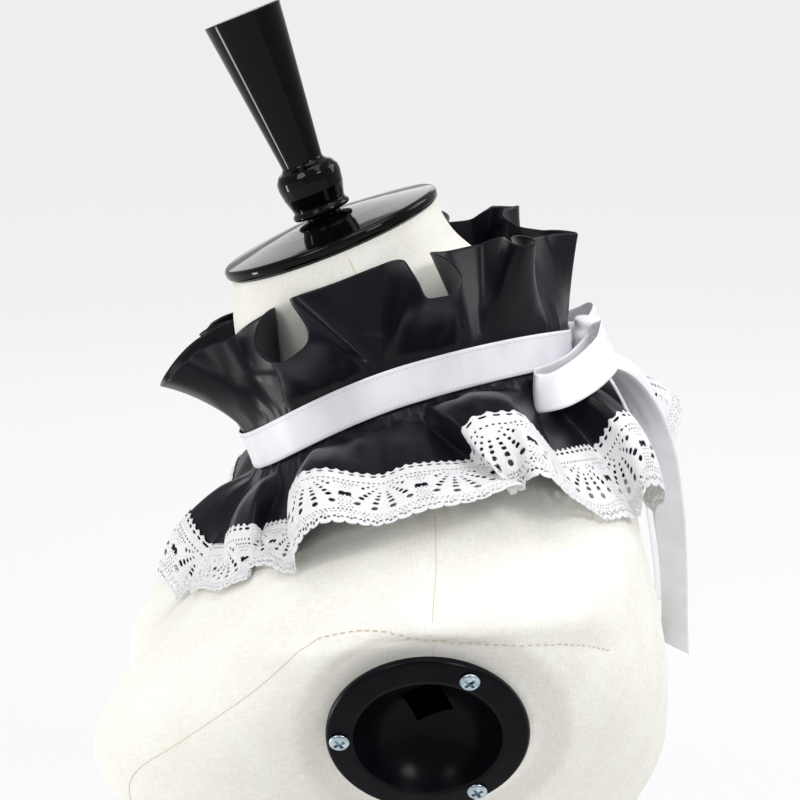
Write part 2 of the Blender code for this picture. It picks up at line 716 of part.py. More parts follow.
def main():
    clear_scene()
    linen = material("Linen", (0.80, 0.74, 0.62), 0.85)
    satin = material("Black satin", (0.010, 0.010, 0.013), 0.38)
    white_satin = material("White satin", (0.86, 0.86, 0.88), 0.35)
    cotton = material("White cotton lace", (0.88, 0.87, 0.84), 0.8)
    lacquer = material("Black lacquer", (0.006, 0.006, 0.007), 0.12)
    plastic = material("Black plastic", (0.012, 0.012, 0.013), 0.25)
    steel = material("Zinc plated steel", (0.62, 0.66, 0.70), 0.3, 1.0)

    form, tree = make_form(linen)
    for side, word in ((1, "left"), (-1, "right")):
        cut(form, side_cutter("arm_cutter_" + word, side))
        make_arm_plate(side, word, plastic, steel)
    tilt = math.radians(CAP_TILT)
    cap_axis = (0.0, -math.sin(tilt), math.cos(tilt))
    seat = np.array(CAP_CENTRE) + np.array(cap_axis) * SEAM_GAP
    turned_object("neck_cap", CAP_PROFILE, seat, cap_axis, lacquer, 36)
    turned_object("finial", FINIAL_PROFILE, seat, cap_axis, lacquer, 24)

    make_upper_frill(tree, satin)
    make_lower_frill(tree, satin, cotton)
    make_ribbon(white_satin)
    make_knot(white_satin)
    strip_object("bow_loop_left", LOOP_LINE, 27, white_satin, squeeze=-0.45)
    strip_object("bow_loop_right", LOOP_LINE, 27, white_satin, mirror=True, squeeze=-0.45)
    strip_object("bow_tail_left", TAIL_LEFT_LINE, 19, white_satin, squeeze=0.42)
    strip_object("bow_tail_right", TAIL_RIGHT_LINE, 19, white_satin, squeeze=0.42)


main()
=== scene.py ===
import math

import bmesh
import bpy
import numpy as np
from mathutils import Matrix, Vector
from mathutils.bvhtree import BVHTree


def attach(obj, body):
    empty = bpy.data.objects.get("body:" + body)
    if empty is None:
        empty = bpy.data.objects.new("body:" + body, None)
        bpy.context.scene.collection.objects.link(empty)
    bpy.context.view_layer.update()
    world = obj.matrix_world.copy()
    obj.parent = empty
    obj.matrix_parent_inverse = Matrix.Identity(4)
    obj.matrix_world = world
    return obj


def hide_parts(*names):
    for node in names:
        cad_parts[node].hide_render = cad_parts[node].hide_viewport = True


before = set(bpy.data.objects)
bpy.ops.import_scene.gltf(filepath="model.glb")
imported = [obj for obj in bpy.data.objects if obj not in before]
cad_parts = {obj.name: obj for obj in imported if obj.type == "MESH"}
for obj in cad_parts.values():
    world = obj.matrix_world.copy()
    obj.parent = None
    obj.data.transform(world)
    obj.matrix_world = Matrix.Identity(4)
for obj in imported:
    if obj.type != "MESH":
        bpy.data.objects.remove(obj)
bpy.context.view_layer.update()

mm = 0.001
neckLevel = 330.0
wall = 1.0       # the solids' cloth wall, whose middle the finer cloth follows
seamGap = 0.3    # between the neck and its cap
formGap = 0.6    # between the form and the cloth round the neck


# Curves and grids

def unit(vectors):
    length = np.linalg.norm(vectors, axis=-1, keepdims=True)
    return vectors / np.maximum(length, 1e-9)


def curveThrough(stations, values, wanted):
    # A smooth curve through the values that never swings past them.
    x = np.asarray(stations, float)
    y = np.asarray(values, float)
    if y.ndim == 1:
        y = y[:, None]
    step = np.diff(x)[:, None]
    slope = np.diff(y, axis=0) / step
    tangent = np.zeros_like(y)
    before, after = slope[:-1], slope[1:]
    agree = before * after > 0
    weightA = 2 * step[1:] + step[:-1]
    weightB = step[1:] + 2 * step[:-1]
    mean = (weightA + weightB) / (
        weightA / np.where(agree, before, 1.0) + weightB / np.where(agree, after, 1.0))
    tangent[1:-1] = np.where(agree, mean, 0.0)
    tangent[0] = slope[0]
    tangent[-1] = slope[-1]
    wanted = np.asarray(wanted, float)
    cell = np.clip(np.searchsorted(x, wanted, side="right") - 1, 0, len(x) - 2)
    width = step[cell]
    t = (wanted[:, None] - x[cell][:, None]) / width
    start = (1 + 2 * t) * (1 - t) ** 2 * y[cell] + t * (1 - t) ** 2 * width * tangent[cell]
    end = t * t * (3 - 2 * t) * y[cell + 1] + t * t * (t - 1) * width * tangent[cell + 1]
    return start + end


def runAlong(points):
    step = np.linalg.norm(np.diff(points, axis=0), axis=-1)
    return np.concatenate([np.zeros_like(step[:1]), np.cumsum(step, axis=0)])


def smoothStep(value):
    value = np.clip(value, 0.0, 1.0)
    return value * value * (3 - 2 * value)


def smoothLine(line, times):
    # Evens out a line of points, whose ends stay.
    for _ in range(times):
        line[1:-1] = line[1:-1] * 0.5 + (line[:-2] + line[2:]) * 0.25
    return line


def gridNormals(grid):
    along = np.gradient(grid, axis=0)
    down = np.gradient(grid, axis=1)
    return unit(np.cross(along, down))


def sampleGrid(grid, column, row):
    # Bilinear reading of a grid at fractional columns and rows.
    c = np.clip(column, 0, grid.shape[0] - 1.001)
    r = np.clip(row, 0, grid.shape[1] - 1.001)
    i, j = c.astype(int), r.astype(int)
    a, b = (c - i)[:, None], (r - j)[:, None]
    near = grid[i, j] * (1 - b) + grid[i, j + 1] * b
    far = grid[i + 1, j] * (1 - b) + grid[i + 1, j + 1] * b
    return near * (1 - a) + far * a


def lifted(points):
    return (np.asarray(points, float) + (0.0, 0.0, neckLevel)) * mm


# Mesh helpers

def readPoints(mesh):
    found = np.empty(len(mesh.vertices) * 3)
    mesh.vertices.foreach_get("co", found)
    return found.reshape(-1, 3)


def writePoints(mesh, points):
    mesh.vertices.foreach_set("co", np.ascontiguousarray(points, np.float32).ravel())
    mesh.update()


def writeUv(mesh, flat):
    # Flat is one pair of millimetres for each vertex.
    layer = mesh.uv_layers.new(name="UVMap")
    corner = np.empty(len(mesh.loops), np.int32)
    mesh.loops.foreach_get("vertex_index", corner)
    layer.data.foreach_set("uv", np.ascontiguousarray(flat[corner] * mm, np.float32).ravel())


def newMesh(name, build):
    # A mesh of what the function builds in an empty bmesh.
    work = bmesh.new()
    build(work)
    mesh = bpy.data.meshes.new(name)
    work.to_mesh(mesh)
    work.free()
    return mesh


def editMesh(mesh, edit):
    # Opens the mesh as a bmesh for one edit and writes it back.
    work = bmesh.new()
    work.from_mesh(mesh)
    edit(work)
    work.to_mesh(mesh)
    work.free()
    mesh.update()


def mergeNear(distance):
    return lambda work: bmesh.ops.remove_doubles(work, verts=work.verts[:], dist=distance)


def closeEnds(work):
    bmesh.ops.holes_fill(work, edges=[e for e in work.edges if e.is_boundary])
    bmesh.ops.recalc_face_normals(work, faces=work.faces[:])


def addObject(name, data):
    made = bpy.data.objects.new(name, data)
    bpy.context.scene.collection.objects.link(made)
    return made


def addPiece(mesh, look, node=None, crisp=None, thickness=None):
    # A piece of the part, with the node it stands for. Edges past crisp degrees stay sharp, and
    # cloth gets its thickness in mm.
    mesh.materials.clear()
    mesh.materials.append(look)
    mesh.polygons.foreach_set("use_smooth", [True] * len(mesh.polygons))
    piece = addObject(mesh.name, mesh)
    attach(piece, "root")
    if crisp:
        mesh.set_sharp_from_angle(angle=math.radians(crisp))
    if thickness:
        modifier = piece.modifiers.new("Thickness", "SOLIDIFY")
        modifier.thickness = thickness * mm
        modifier.offset = 0.0
    if node:
        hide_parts(node)
    return piece


def gridMesh(name, places, flat=None, closed=False):
    # A plane grid from the operator, laid onto places[column, row]. Flat is the cut in mm: the
    # run of each column and the place of each row across it.
    columns, rows = places.shape[:2]
    mesh = newMesh(name, lambda work: bmesh.ops.create_grid(
        work, x_segments=columns - 1, y_segments=rows - 1, size=0.5))
    spot = readPoints(mesh)
    column = np.rint((spot[:, 0] + 0.5) * (columns - 1)).astype(int)
    row = np.rint((spot[:, 1] + 0.5) * (rows - 1)).astype(int)
    writePoints(mesh, lifted(places[column, row]))
    if flat is not None:
        writeUv(mesh, np.stack([flat[0][column], flat[1][row]], axis=1))
    if closed:
        editMesh(mesh, mergeNear(2e-6))
    return mesh


def roundedProfile(points, radius, steps=5):
    # Every inner corner of the outline becomes an arc of up to this radius.
    points = [Vector(p) for p in points]
    made = [points[0]]
    for before, corner, after in zip(points, points[1:], points[2:]):
        toBefore, toAfter = before - corner, after - corner
        angle = toBefore.angle(toAfter)
        if angle > math.radians(179):
            made.append(corner)
            continue
        reach = min(radius / math.tan(angle / 2), toBefore.length * 0.48, toAfter.length * 0.48)
        start = corner + toBefore.normalized() * reach
        end = corner + toAfter.normalized() * reach
        for k in range(steps + 1):
            t = k / steps
            made.append(start * (1 - t) ** 2 + corner * 2 * t * (1 - t) + end * t * t)
    made.append(points[-1])
    return made


def turnedMesh(name, profile, centre, axis, sides):
    # Spins an outline of (radius, height) pairs round the axis.
    axis = Vector(axis).normalized()
    first = axis.cross(Vector((1, 0, 0)) if abs(axis.x) < 0.7 else Vector((0, 1, 0))).normalized()
    centre = Vector(centre)

    def spin(work):
        line = [work.verts.new(centre + axis * p[1] + first * p[0]) for p in profile]
        edges = [work.edges.new(pair) for pair in zip(line, line[1:])]
        bmesh.ops.spin(work, geom=line + edges, cent=centre, axis=axis, angle=2 * math.pi,
                       steps=sides, use_merge=True)
        mergeNear(4e-3)(work)
        bmesh.ops.recalc_face_normals(work, faces=work.faces[:])

    mesh = newMesh(name, spin)
    writePoints(mesh, lifted(readPoints(mesh)))
    return mesh


def cutBlock(piece, centre, directions, size):
    # Cuts a box along three directions out of the piece for good.
    def box(work):
        bmesh.ops.create_cube(work, size=1.0)
        turn = Matrix(np.stack([d * s for d, s in zip(directions, size)], axis=1).tolist())
        bmesh.ops.transform(work, matrix=turn.to_4x4(), verts=work.verts[:])
        bmesh.ops.translate(work, verts=work.verts[:], vec=Vector(centre))
        bmesh.ops.recalc_face_normals(work, faces=work.faces[:])

    mesh = newMesh("cutter", box)
    writePoints(mesh, lifted(readPoints(mesh)))
    cutter = addObject("cutter", mesh)
    modifier = piece.modifiers.new("Cut", "BOOLEAN")
    modifier.operation = "DIFFERENCE"
    modifier.solver = "EXACT"
    modifier.object = cutter
    bpy.context.view_layer.update()
    made = bpy.data.meshes.new_from_object(
        piece.evaluated_get(bpy.context.evaluated_depsgraph_get()))
    piece.modifiers.clear()
    piece.data = made
    bpy.data.objects.remove(cutter)


def repeatedMesh(name, shape, points):
    # The faces of one small shape, repeated over points in mm that hold it again and again.
    size = len(shape.vertices)
    faces = [tuple(p.vertices) for p in shape.polygons]
    made = bpy.data.meshes.new(name)
    made.from_pydata(lifted(points).tolist(), [], [
        tuple(v + k * size for v in f) for k in range(len(points) // size) for f in faces])
    return made


def stitchMesh(name, line, normals, stitch):
    # Stitches along a line of points: each a small flat grain that sinks into the cloth.
    shape = newMesh(name + "Grain", lambda work: bmesh.ops.create_uvsphere(
        work, u_segments=6, v_segments=4, radius=1.0))
    run = runAlong(line)
    starts = np.arange(stitch["pitch"] / 2, run[-1], stitch["pitch"])
    centre = curveThrough(run, line, starts)
    ahead = unit(curveThrough(run, line, np.minimum(starts + 0.3, run[-1])) - centre)
    across = unit(np.cross(ahead, unit(curveThrough(run, normals, starts))))
    away = np.cross(across, ahead)
    grain = readPoints(shape) * (stitch["radius"], stitch["radius"] * 0.8, stitch["length"] / 2)
    turns = np.stack([across, away, ahead], axis=1)
    points = grain @ turns + (centre + away * stitch["radius"] * 0.35)[:, None]
    return repeatedMesh(name, shape, points.reshape(-1, 3))


def tubePlaces(line, normals, radius, sides=8):
    # Rings round a line, for welts that follow a surface.
    ahead = unit(np.gradient(line, axis=0))
    across = unit(np.cross(ahead, normals))
    away = np.cross(across, ahead)
    turn = np.linspace(0, 2 * math.pi, sides + 1)
    ring = across[:, None] * np.cos(turn)[None, :, None] + away[:, None] * np.sin(turn)[None, :, None]
    return line[:, None] + ring * radius


# Finishes

def hexColour(text):
    # sRGB hex to the linear colour that shaders take.
    made = []
    for k in (1, 3, 5):
        value = int(text[k:k + 2], 16) / 255
        made.append(value / 12.92 if value <= 0.04045 else ((value + 0.055) / 1.055) ** 2.4)
    return (*made, 1.0)


def setInputs(tree, node, inputs):
    # An input takes a value, or a socket to link from.
    for key, value in inputs.items():
        if isinstance(value, bpy.types.NodeSocket):
            tree.links.new(value, node.inputs[key])
        else:
            node.inputs[key].default_value = value


def addNode(tree, kind, inputs=(), stops=(), **settings):
    # A node with its settings and links. Stops are the places and colours of a ramp.
    node = tree.nodes.new(kind)
    for key, value in settings.items():
        setattr(node, key, value)
    for number, (place, colour) in enumerate(stops):
        node.color_ramp.elements[number].position = place
        node.color_ramp.elements[number].color = hexColour(colour)
    setInputs(tree, node, dict(inputs))
    return node


def newFinish(name):
    look = bpy.data.materials.new(name)
    look.use_nodes = True
    return look, look.node_tree, look.node_tree.nodes["Principled BSDF"]


def addPattern(tree, space, spacing, inputs=(), kind="ShaderNodeTexNoise", settings=()):
    # A texture of any kind whose unit is a real spacing in mm, along the cut or in the piece.
    source = addNode(tree, "ShaderNodeTexCoord")
    scale = [1.0 / (length * mm) for length in spacing] + [1.0] * (3 - len(spacing))
    place = addNode(tree, "ShaderNodeMapping", {"Vector": source.outputs[space], "Scale": scale})
    return addNode(tree, kind, {"Vector": place.outputs["Vector"], "Scale": 1.0, **dict(inputs)},
                   **dict(settings))


def makeFinish(name, values, pattern, stops, reliefs=()):
    # The pattern gives the colour between two stops. A relief has a pattern of its own or takes
    # the colour's, with its strength and its depth in mm. A pair of roughnesses follows it too.
    look, tree, shader = newFinish(name)
    tone = addPattern(tree, *pattern)
    ramp = addNode(tree, "ShaderNodeValToRGB", {"Fac": tone.outputs["Fac"]}, stops)
    inputs = {**values, "Base Color": ramp.outputs["Color"]}
    if isinstance(values["Roughness"], tuple):
        low, high = values["Roughness"]
        rough = addNode(tree, "ShaderNodeMapRange",
                        {"Value": tone.outputs["Fac"], "To Min": low, "To Max": high})
        inputs["Roughness"] = rough.outputs["Result"]
    normal = {}
    for own, strength, depth in reliefs:
        height = addPattern(tree, *own) if own else tone
        bump = addNode(tree, "ShaderNodeBump", {"Strength": strength, "Distance": depth * mm,
                                                "Height": height.outputs["Fac"], **normal})
        normal = {"Normal": bump.outputs[0]}
    setInputs(tree, shader, {**inputs, **normal})
    return look


def makeLinen():
    # Plain-woven linen, drawn tight over padding: matt, with uneven slubs both ways.
    look, tree, shader = newFinish("cream plain-weave linen")
    thread = 0.8   # real threads are 0.5 mm apart, drawn a little coarser so that they show
    warp, weft = (addPattern(tree, "UV", spacing, {"Detail": 3.0})
                  for spacing in ((thread, 5.0), (6.0, thread)))
    both = addNode(tree, "ShaderNodeMath", {0: warp.outputs["Fac"], 1: weft.outputs["Fac"]},
                   operation="ADD")
    half = addNode(tree, "ShaderNodeMath", {0: both.outputs[0], 1: 0.5}, operation="MULTIPLY")
    cloud = addPattern(tree, "Object", (24.0,) * 3, {"Detail": 4.0})
    weave = addNode(tree, "ShaderNodeValToRGB", {"Fac": half.outputs[0]},
                    ((0.36, "#e9e7e1"), (0.62, "#f6f5f0")))
    stain = addNode(tree, "ShaderNodeValToRGB", {"Fac": cloud.outputs["Fac"]},
                    ((0.35, "#f9f8f3"), (0.65, "#fefefb")))
    # Painted shade: in the hollow round each arm plate the linen is mixed towards a greyer cream,
    # #eeece8.
    shadeMask = addNode(tree, "ShaderNodeAttribute", attribute_name="hollowAndPaintedShade")
    grey = addNode(tree, "ShaderNodeMix", {"Factor": shadeMask.outputs["Fac"], 6: stain.outputs["Color"],
                                           7: hexColour("#eeece8")}, data_type="RGBA")
    tint = addNode(tree, "ShaderNodeMix", {"Factor": 0.9, 6: weave.outputs["Color"],
                                           7: grey.outputs[2]}, data_type="RGBA",
                   blend_type="MULTIPLY")
    bump = addNode(tree, "ShaderNodeBump",
                   {"Strength": 0.35, "Distance": 0.2 * mm, "Height": half.outputs[0]})
    setInputs(tree, shader, {
        "Roughness": 0.92, "Specular IOR Level": 0.12, "Sheen Weight": 0.05,
        "Sheen Roughness": 0.6, "Base Color": tint.outputs[2], "Normal": bump.outputs[0]})
    return look


def makeSatin(name, dark, light, values, relief):
    # Satin weave: long floats lie one way, so it is smooth with a soft sheen and no grain.
    return makeFinish(name, values, ("UV", (9.0, 26.0), {"Detail": 3.0}),
                      ((0.3, dark), (0.7, light)), (
        (("UV", (0.35, 5.0), {"Detail": 1.0}), 0.25, 0.05),
        (("UV", (7.0, 12.0), {"Detail": 2.0}), 0.5, relief)))


def makeThread(name, dark, light):
    # Spun sewing thread: a soft sheen and fibre-fine twist.
    return makeFinish(name, {"Roughness": 0.6, "Sheen Weight": 0.2}, ("Object", (0.6,) * 3),
                      ((0.3, dark), (0.7, light)))


linen = makeLinen()
blackSatin = makeSatin("black polyester satin", "#0c0c11", "#16161c",
                       {"Roughness": 0.33, "Specular IOR Level": 0.17, "Sheen Weight": 0.06,
                        "Sheen Roughness": 0.4, "Sheen Tint": hexColour("#a9a8d0")}, 0.35)
whiteSatin = makeSatin("white satin ribbon", "#e9e9ed", "#f2f2f5",
                       {"Roughness": 0.4, "Specular IOR Level": 0.3, "Sheen Weight": 0.05}, 0.12)
# Bobbin lace of soft cotton thread: matt white, with plaits that catch the light. The plaits are
# of 0.4 mm thread, drawn coarser so that they show.
laceCotton = makeFinish(
    "white cotton bobbin lace",
    {"Roughness": 0.85, "Specular IOR Level": 0.3, "Sheen Weight": 0.2, "Sheen Roughness": 0.5},
    ("UV", (1.40071,) * 2, {"Distortion": 3.0, "Detail": 1.0}, "ShaderNodeTexWave",
     {"wave_type": "BANDS", "bands_direction": "DIAGONAL"}),
    ((0.1, "#dfdfe1"), (0.8, "#f3f3f2")), ((None, 0.5, 0.25),))
# Nitrocellulose lacquer on turned wood: a deep wet black with faint sanding waves.
lacquer = makeFinish(
    "black lacquered wood", {"Roughness": 0.06, "IOR": 1.5, "Specular IOR Level": 0.15},
    ("Object", (30.0,) * 3, {"Detail": 3.0}), ((0.3, "#030304"), (0.7, "#070606")),
    ((("Object", (6.0,) * 3), 0.2, 0.12),))
# Moulded ABS: black with a low gloss, uneven from handling, over a fine moulded grain.
plastic = makeFinish(
    "black moulded abs", {"Roughness": (0.16, 0.34), "IOR": 1.53, "Specular IOR Level": 0.06},
    ("Object", (12.0,) * 3, {"Detail": 4.0}), ((0.3, "#08080b"), (0.7, "#0e0e13")),
    ((("Object", (1.2,) * 3), 0.12, 0.05),))
# Bright zinc plate over steel, with a blue passivated cast.
zinc = makeFinish(
    "blue passivated zinc on steel", {"Metallic": 1.0, "Roughness": 0.28},
    ("Object", (2.5,) * 3, {"Detail": 3.0}), ((0.3, "#8fa3ad"), (0.7, "#c9d6dc")),
    ((None, 0.2, 0.05),))
greyThread = makeThread("pale grey polyester thread", "#b9b9c6", "#d2d2dc")
creamThread = makeThread("cream cotton thread", "#d6cbb2", "#e4dcc8")
tanThread = makeThread("tan cotton thread", "#c3b08c", "#d8c8a8")
print("finishes made")


# The dress form

formShape = {
    "columns": 220,
    "rowStep": 2.6,          # height of one row of faces
    "armEndRound": 5.0,      # softness of the edge round each flat arm end
    "clothRadius": 130.0,    # mean radius the linen is drawn round
    "bustApart": 78.0,       # from the middle to each bust point
    "bustSpread": 42.0,
    "armReach": 110.0,       # how far round an arm plate the form is drawn flat
    "pocketRadius": 32.0,
    "pocketDepth": 38.5,
}
# A level ring: height at front, side and back; depth at front, side and back; half width;
# how far each bust point stands out; squareness of the outline.
formRings = (
    # zf    zs    zb    yf   ys   yb   half bust square
    (-330, -330, -330, -88, -4, 78, 116, 0, 2.2), (-316, -316, -316, -86, -4, 76, 113, 0, 2.2),
    (-285, -285, -285, -82, -4, 72, 107, 0, 2.2), (-240, -240, -240, -92, -4, 84, 113, 4, 2.2),
    (-195, -195, -195, -110, -3, 104, 125, 11, 2.3),
    (-145, -145, -145, -130, -1, 126, 142, 19, 2.4), (-119, -118, -116, -120, 2, 124, 159, 15, 2.6),
    (-100, -90, -88, -106, 10, 119, 172, 11, 2.6), (-84, -56, -58, -94, 13, 111, 178, 4, 2.4),
    (-66, -31, -33, -85, 12, 105, 138, 0, 2.2), (-51, -11, -10, -76, 10, 94, 101, 0, 2),
    (-39, 2, 6, -69, 6, 82, 74, 0, 2),
)
ribbonLow = (-29.5, 13.5, 18.0, -66.0, 3.0, 77.0, 65.5, 0, 2.0)
ribbonTop = (-13.0, 30.0, 34.0, -72.5, 0.0, 76.0, 61.0, 0, 2.0)
neckRings = (
    (18, 46, 60, -74, -14, 48, 54, 0, 2), (42, 62, 80, -76.5, -26, 24, 51, 0, 2),
    (57.5, 75.7, 93.9, -76.5, -30.2, 15.5, 50, 0, 2),
)
armPlate = {
    "centre": (160.0, 11.0, -95.2),
    "tilt": 21.0,
    "radius": 40.5,
    "socketSide": 16.0,
    "socketTurn": 25.0,
    "screwCircle": 35.0,
    "screwAngles": (55.0, 178.0, 297.0),
    "sides": 128,
}
bodySides = ((1, "Left"), (-1, "Right"))

# Seams of the form's cover, as points near its skin on the left side. The arc over the arm is
# stitched, and the others have a thin welt.
formSeams = {
    "shoulder": ((66, 14, 0), (90, 15, -13), (115, 15, -24), (140, 15, -35), (156, 14, -44),
                 (163, 13, -50), (166, 13, -57), (165, 13, -64)),
    "princess": ((160, -31, -58), (150, -52, -80), (135, -77, -103), (115, -101, -126),
                 (100, -119, -143), (92, -126, -175), (84, -118, -220), (80, -100, -260)),
    "armArc": ((160, -31, -58), (162, -20, -54), (164, -8, -52), (166, 5, -51.3), (167, 14, -51.5),
               (166, 31, -52.9), (163, 50, -54.1), (160, 60, -56.5), (152, 76, -62), (143, 85, -68)),
    "neckTuck": ((50, -22, 75), (50, -18, 68), (51, -13, 58), (53, -8, 46)),
    "weltRadius": 0.28,
    "stitchLift": 0.2,
    "spacing": 1.5,
    "smoothing": 60,
}
# The padding swells above the stitched arc, the seam pulls it in, and it leaves a hollow round the
# arm plate: the middle of that across the body and in height, its radii and its depth. The swell
# and the hollow lie beyond the side, and fade over the ends towards the front and the back.
padding = {"swell": 1.3, "swellAt": 9.0, "swellSpread": 6.5, "pull": 0.9, "pullSpread": 2.6}
armHollow = {"across": 13.7, "level": -99.0, "inner": 40.0, "outer": 54.5, "depth": 1.5,
             "front": -78.0, "back": 106.0, "ends": 34.0, "side": 118.0}
seamStitch = {"pitch": 3.4, "length": 2.4, "radius": 0.22}


def ringPoints(ring, angles):
    zFront, zSide, zBack, yFront, ySide, yBack, half, bust, square = ring
    cosine, sine = np.cos(angles), np.sin(angles)
    power = 2.0 / square
    x = half * np.sign(sine) * np.abs(sine) ** power
    reach = np.where(cosine > 0, yFront - ySide, ySide - yBack)
    y = ySide + reach * np.sign(cosine) * np.abs(cosine) ** power
    rise = np.abs(sine) ** np.where(cosine > 0, 2.0, 1.3)
    middle = (zFront + zBack) / 2
    z = middle + (zFront - zBack) / 2 * cosine + (zSide - middle) * rise
    fromBust = (np.abs(x) - formShape["bustApart"]) / formShape["bustSpread"]
    y = y - bust * np.exp(-(fromBust ** 2)) * np.clip(cosine, 0, 1) ** 0.5
    return np.stack([x, y, z], axis=-1)


def plateAxis(side):
    tilt = math.radians(armPlate["tilt"])
    axis = np.array([side * math.cos(tilt), 0.0, -math.sin(tilt)])
    return axis, np.array(armPlate["centre"]) * (side, 1, 1)


def formSkin(columns, rowStep):
    angles = np.linspace(0, 2 * math.pi, columns + 1)
    levels = formRings + (ribbonLow, ribbonTop) + neckRings
    rings = np.array([ringPoints(ring, angles) for ring in levels])
    run = runAlong(rings).mean(axis=1)
    wanted = np.linspace(0, run[-1], int(run[-1] / rowStep) + 1)
    skin = curveThrough(run, rings.reshape(len(levels), -1), wanted)
    return skin.reshape(len(wanted), columns + 1, 3), wanted


def flattenArms(skin):
    # What stands past the plane of an arm plate is drawn back onto it, with a soft edge.
    soft = formShape["armEndRound"]
    for side in (1, -1):
        axis, centre = plateAxis(side)
        past = (skin - centre) @ axis
        level = -soft * np.log1p(np.exp(np.clip(-past / soft, -40, 40)))
        near = np.linalg.norm(skin - centre, axis=-1) < formShape["armReach"]
        skin = np.where(near[..., None], skin + (level - past)[..., None] * axis, skin)
    return skin


def hollowAndPaintedShade(skin):
    # 1 in the hollow round each arm plate, below the stitched arc, and 0 elsewhere: it sinks the
    # hollow, and the linen takes it as painted shade. Then the height above that arc, and how near the
    # place is to it.
    arc = np.array(formSeams["armArc"], float)
    x, y, z = np.abs(skin[..., 0]), skin[..., 1], skin[..., 2]
    over = z - np.interp(y, arc[:, 1], arc[:, 2])
    within = (smoothStep((y - armHollow["front"]) / armHollow["ends"])
              * smoothStep((armHollow["back"] - y) / armHollow["ends"]))
    wide = smoothStep((x - armHollow["side"]) / 10)
    reach = np.hypot(y - armHollow["across"], (z - armHollow["level"]) * 1.05)
    ring = (smoothStep((armHollow["outer"] + 2.5 - reach) / 5)
            * smoothStep((reach - armHollow["inner"]) / 4))
    return smoothStep(0.5 - over / 2.5) * ring * wide, over, within * wide


def puffSeams(skin):
    shaded, over, near = hollowAndPaintedShade(skin)
    swell = (padding["swell"] * np.exp(-((over - padding["swellAt"]) / padding["swellSpread"]) ** 2)
             - padding["pull"] * np.exp(-(over / padding["pullSpread"]) ** 2))
    swell = swell * near - armHollow["depth"] * shaded
    normals = -gridNormals(skin.transpose(1, 0, 2)).transpose(1, 0, 2)
    side = np.sign(normals[..., 0]) * np.sign(skin[..., 0])
    normals = np.where(side[..., None] < 0, -normals, normals)
    return skin + normals * swell[..., None]


def openPocket(work, side):
    # Opens the round pocket behind an arm plate and gives it a wall and a floor.
    axis, centre = plateAxis(side)
    axis, centre = Vector(axis), Vector(lifted(centre))
    radius = formShape["pocketRadius"] * mm

    def fromAxis(point):
        away = point - centre
        return away - axis * away.dot(axis)

    inside = [f for f in work.faces
              if (f.calc_center_median() - centre).length < radius * 1.3
              and fromAxis(f.calc_center_median()).length < radius * 0.97]
    bmesh.ops.delete(work, geom=inside, context="FACES")
    rim = [e for e in work.edges if e.is_boundary
           and (e.verts[0].co - centre).length < radius * 1.4]
    for vert in {v for e in rim for v in e.verts}:
        away = fromAxis(vert.co)
        vert.co = centre + away.normalized() * radius
    made = bmesh.ops.extrude_edge_only(work, edges=rim)["geom"]
    bmesh.ops.translate(work, verts=[g for g in made if isinstance(g, bmesh.types.BMVert)],
                        vec=-axis * formShape["pocketDepth"] * mm)
    floor = [g for g in made if isinstance(g, bmesh.types.BMEdge) and g.is_boundary]
    bmesh.ops.holes_fill(work, edges=floor)


def makeTorso():
    skin, run = formSkin(formShape["columns"], formShape["rowStep"])
    skin = puffSeams(flattenArms(skin))
    around = np.linspace(0, 2 * math.pi, skin.shape[1]) * formShape["clothRadius"]
    mesh = gridMesh("formTorso", np.ascontiguousarray(skin.transpose(1, 0, 2)), (around, run),
                    closed=True)
    trees = []

    def keepSkin(work):
        # The skin without its pockets, which the cloth is laid on.
        bmesh.ops.recalc_face_normals(work, faces=work.faces[:])
        trees.append(BVHTree.FromBMesh(work))

    def openPockets(work):
        for side, word in bodySides:
            openPocket(work, side)
        closeEnds(work)

    editMesh(mesh, keepSkin)
    editMesh(mesh, openPockets)
    spots = readPoints(mesh) / mm - (0.0, 0.0, neckLevel)
    # The hollow's painted shade, which the linen's colour reads.
    mask = mesh.attributes.new("hollowAndPaintedShade", "FLOAT", "POINT")
    mask.data.foreach_set("value", hollowAndPaintedShade(spots)[0].astype(np.float32))
    addPiece(mesh, linen, "form_torso", crisp=50)
    return trees[0]


skinTree = makeTorso()
print("dress form made")


def heightAbove(place):
    # Distance out from the form, in mm, and the direction there.
    spot = Vector(lifted(place))
    near, normal, _, _ = skinTree.find_nearest(spot)
    return (spot - near).dot(normal) / mm, np.array(normal)


def onForm(points, lift):
    # A smooth line through given points, laid onto the form's skin.
    run = runAlong(points)
    fine = curveThrough(run, points, np.arange(0, run[-1], formSeams["spacing"]))
    for _ in range(4):
        line, normals = [], []
        for place in fine:
            height, normal = heightAbove(place)
            line.append(place - normal * (height - lift))
            normals.append(normal)
        line = np.array(line)
        fine = smoothLine(line.copy(), formSeams["smoothing"])
    return line, unit(np.array(normals))


def makeFormSeams():
    for name in ("shoulder", "princess", "armArc", "neckTuck"):
        for side, word in bodySides:
            points = np.array(formSeams[name], float) * (side, 1, 1)
            if name == "armArc":
                line, normals = onForm(points, formSeams["stitchLift"])
                mesh = stitchMesh(name + "Stitches" + word, line, normals, seamStitch)
                addPiece(mesh, tanThread)
            else:
                places = tubePlaces(*onForm(points, 0.0), formSeams["weltRadius"])
                addPiece(gridMesh(name + "Seam" + word, places, closed=True), creamThread)


makeFormSeams()
print("form seams made")


# Neck cap and knob, as outlines of radius and height that are turned

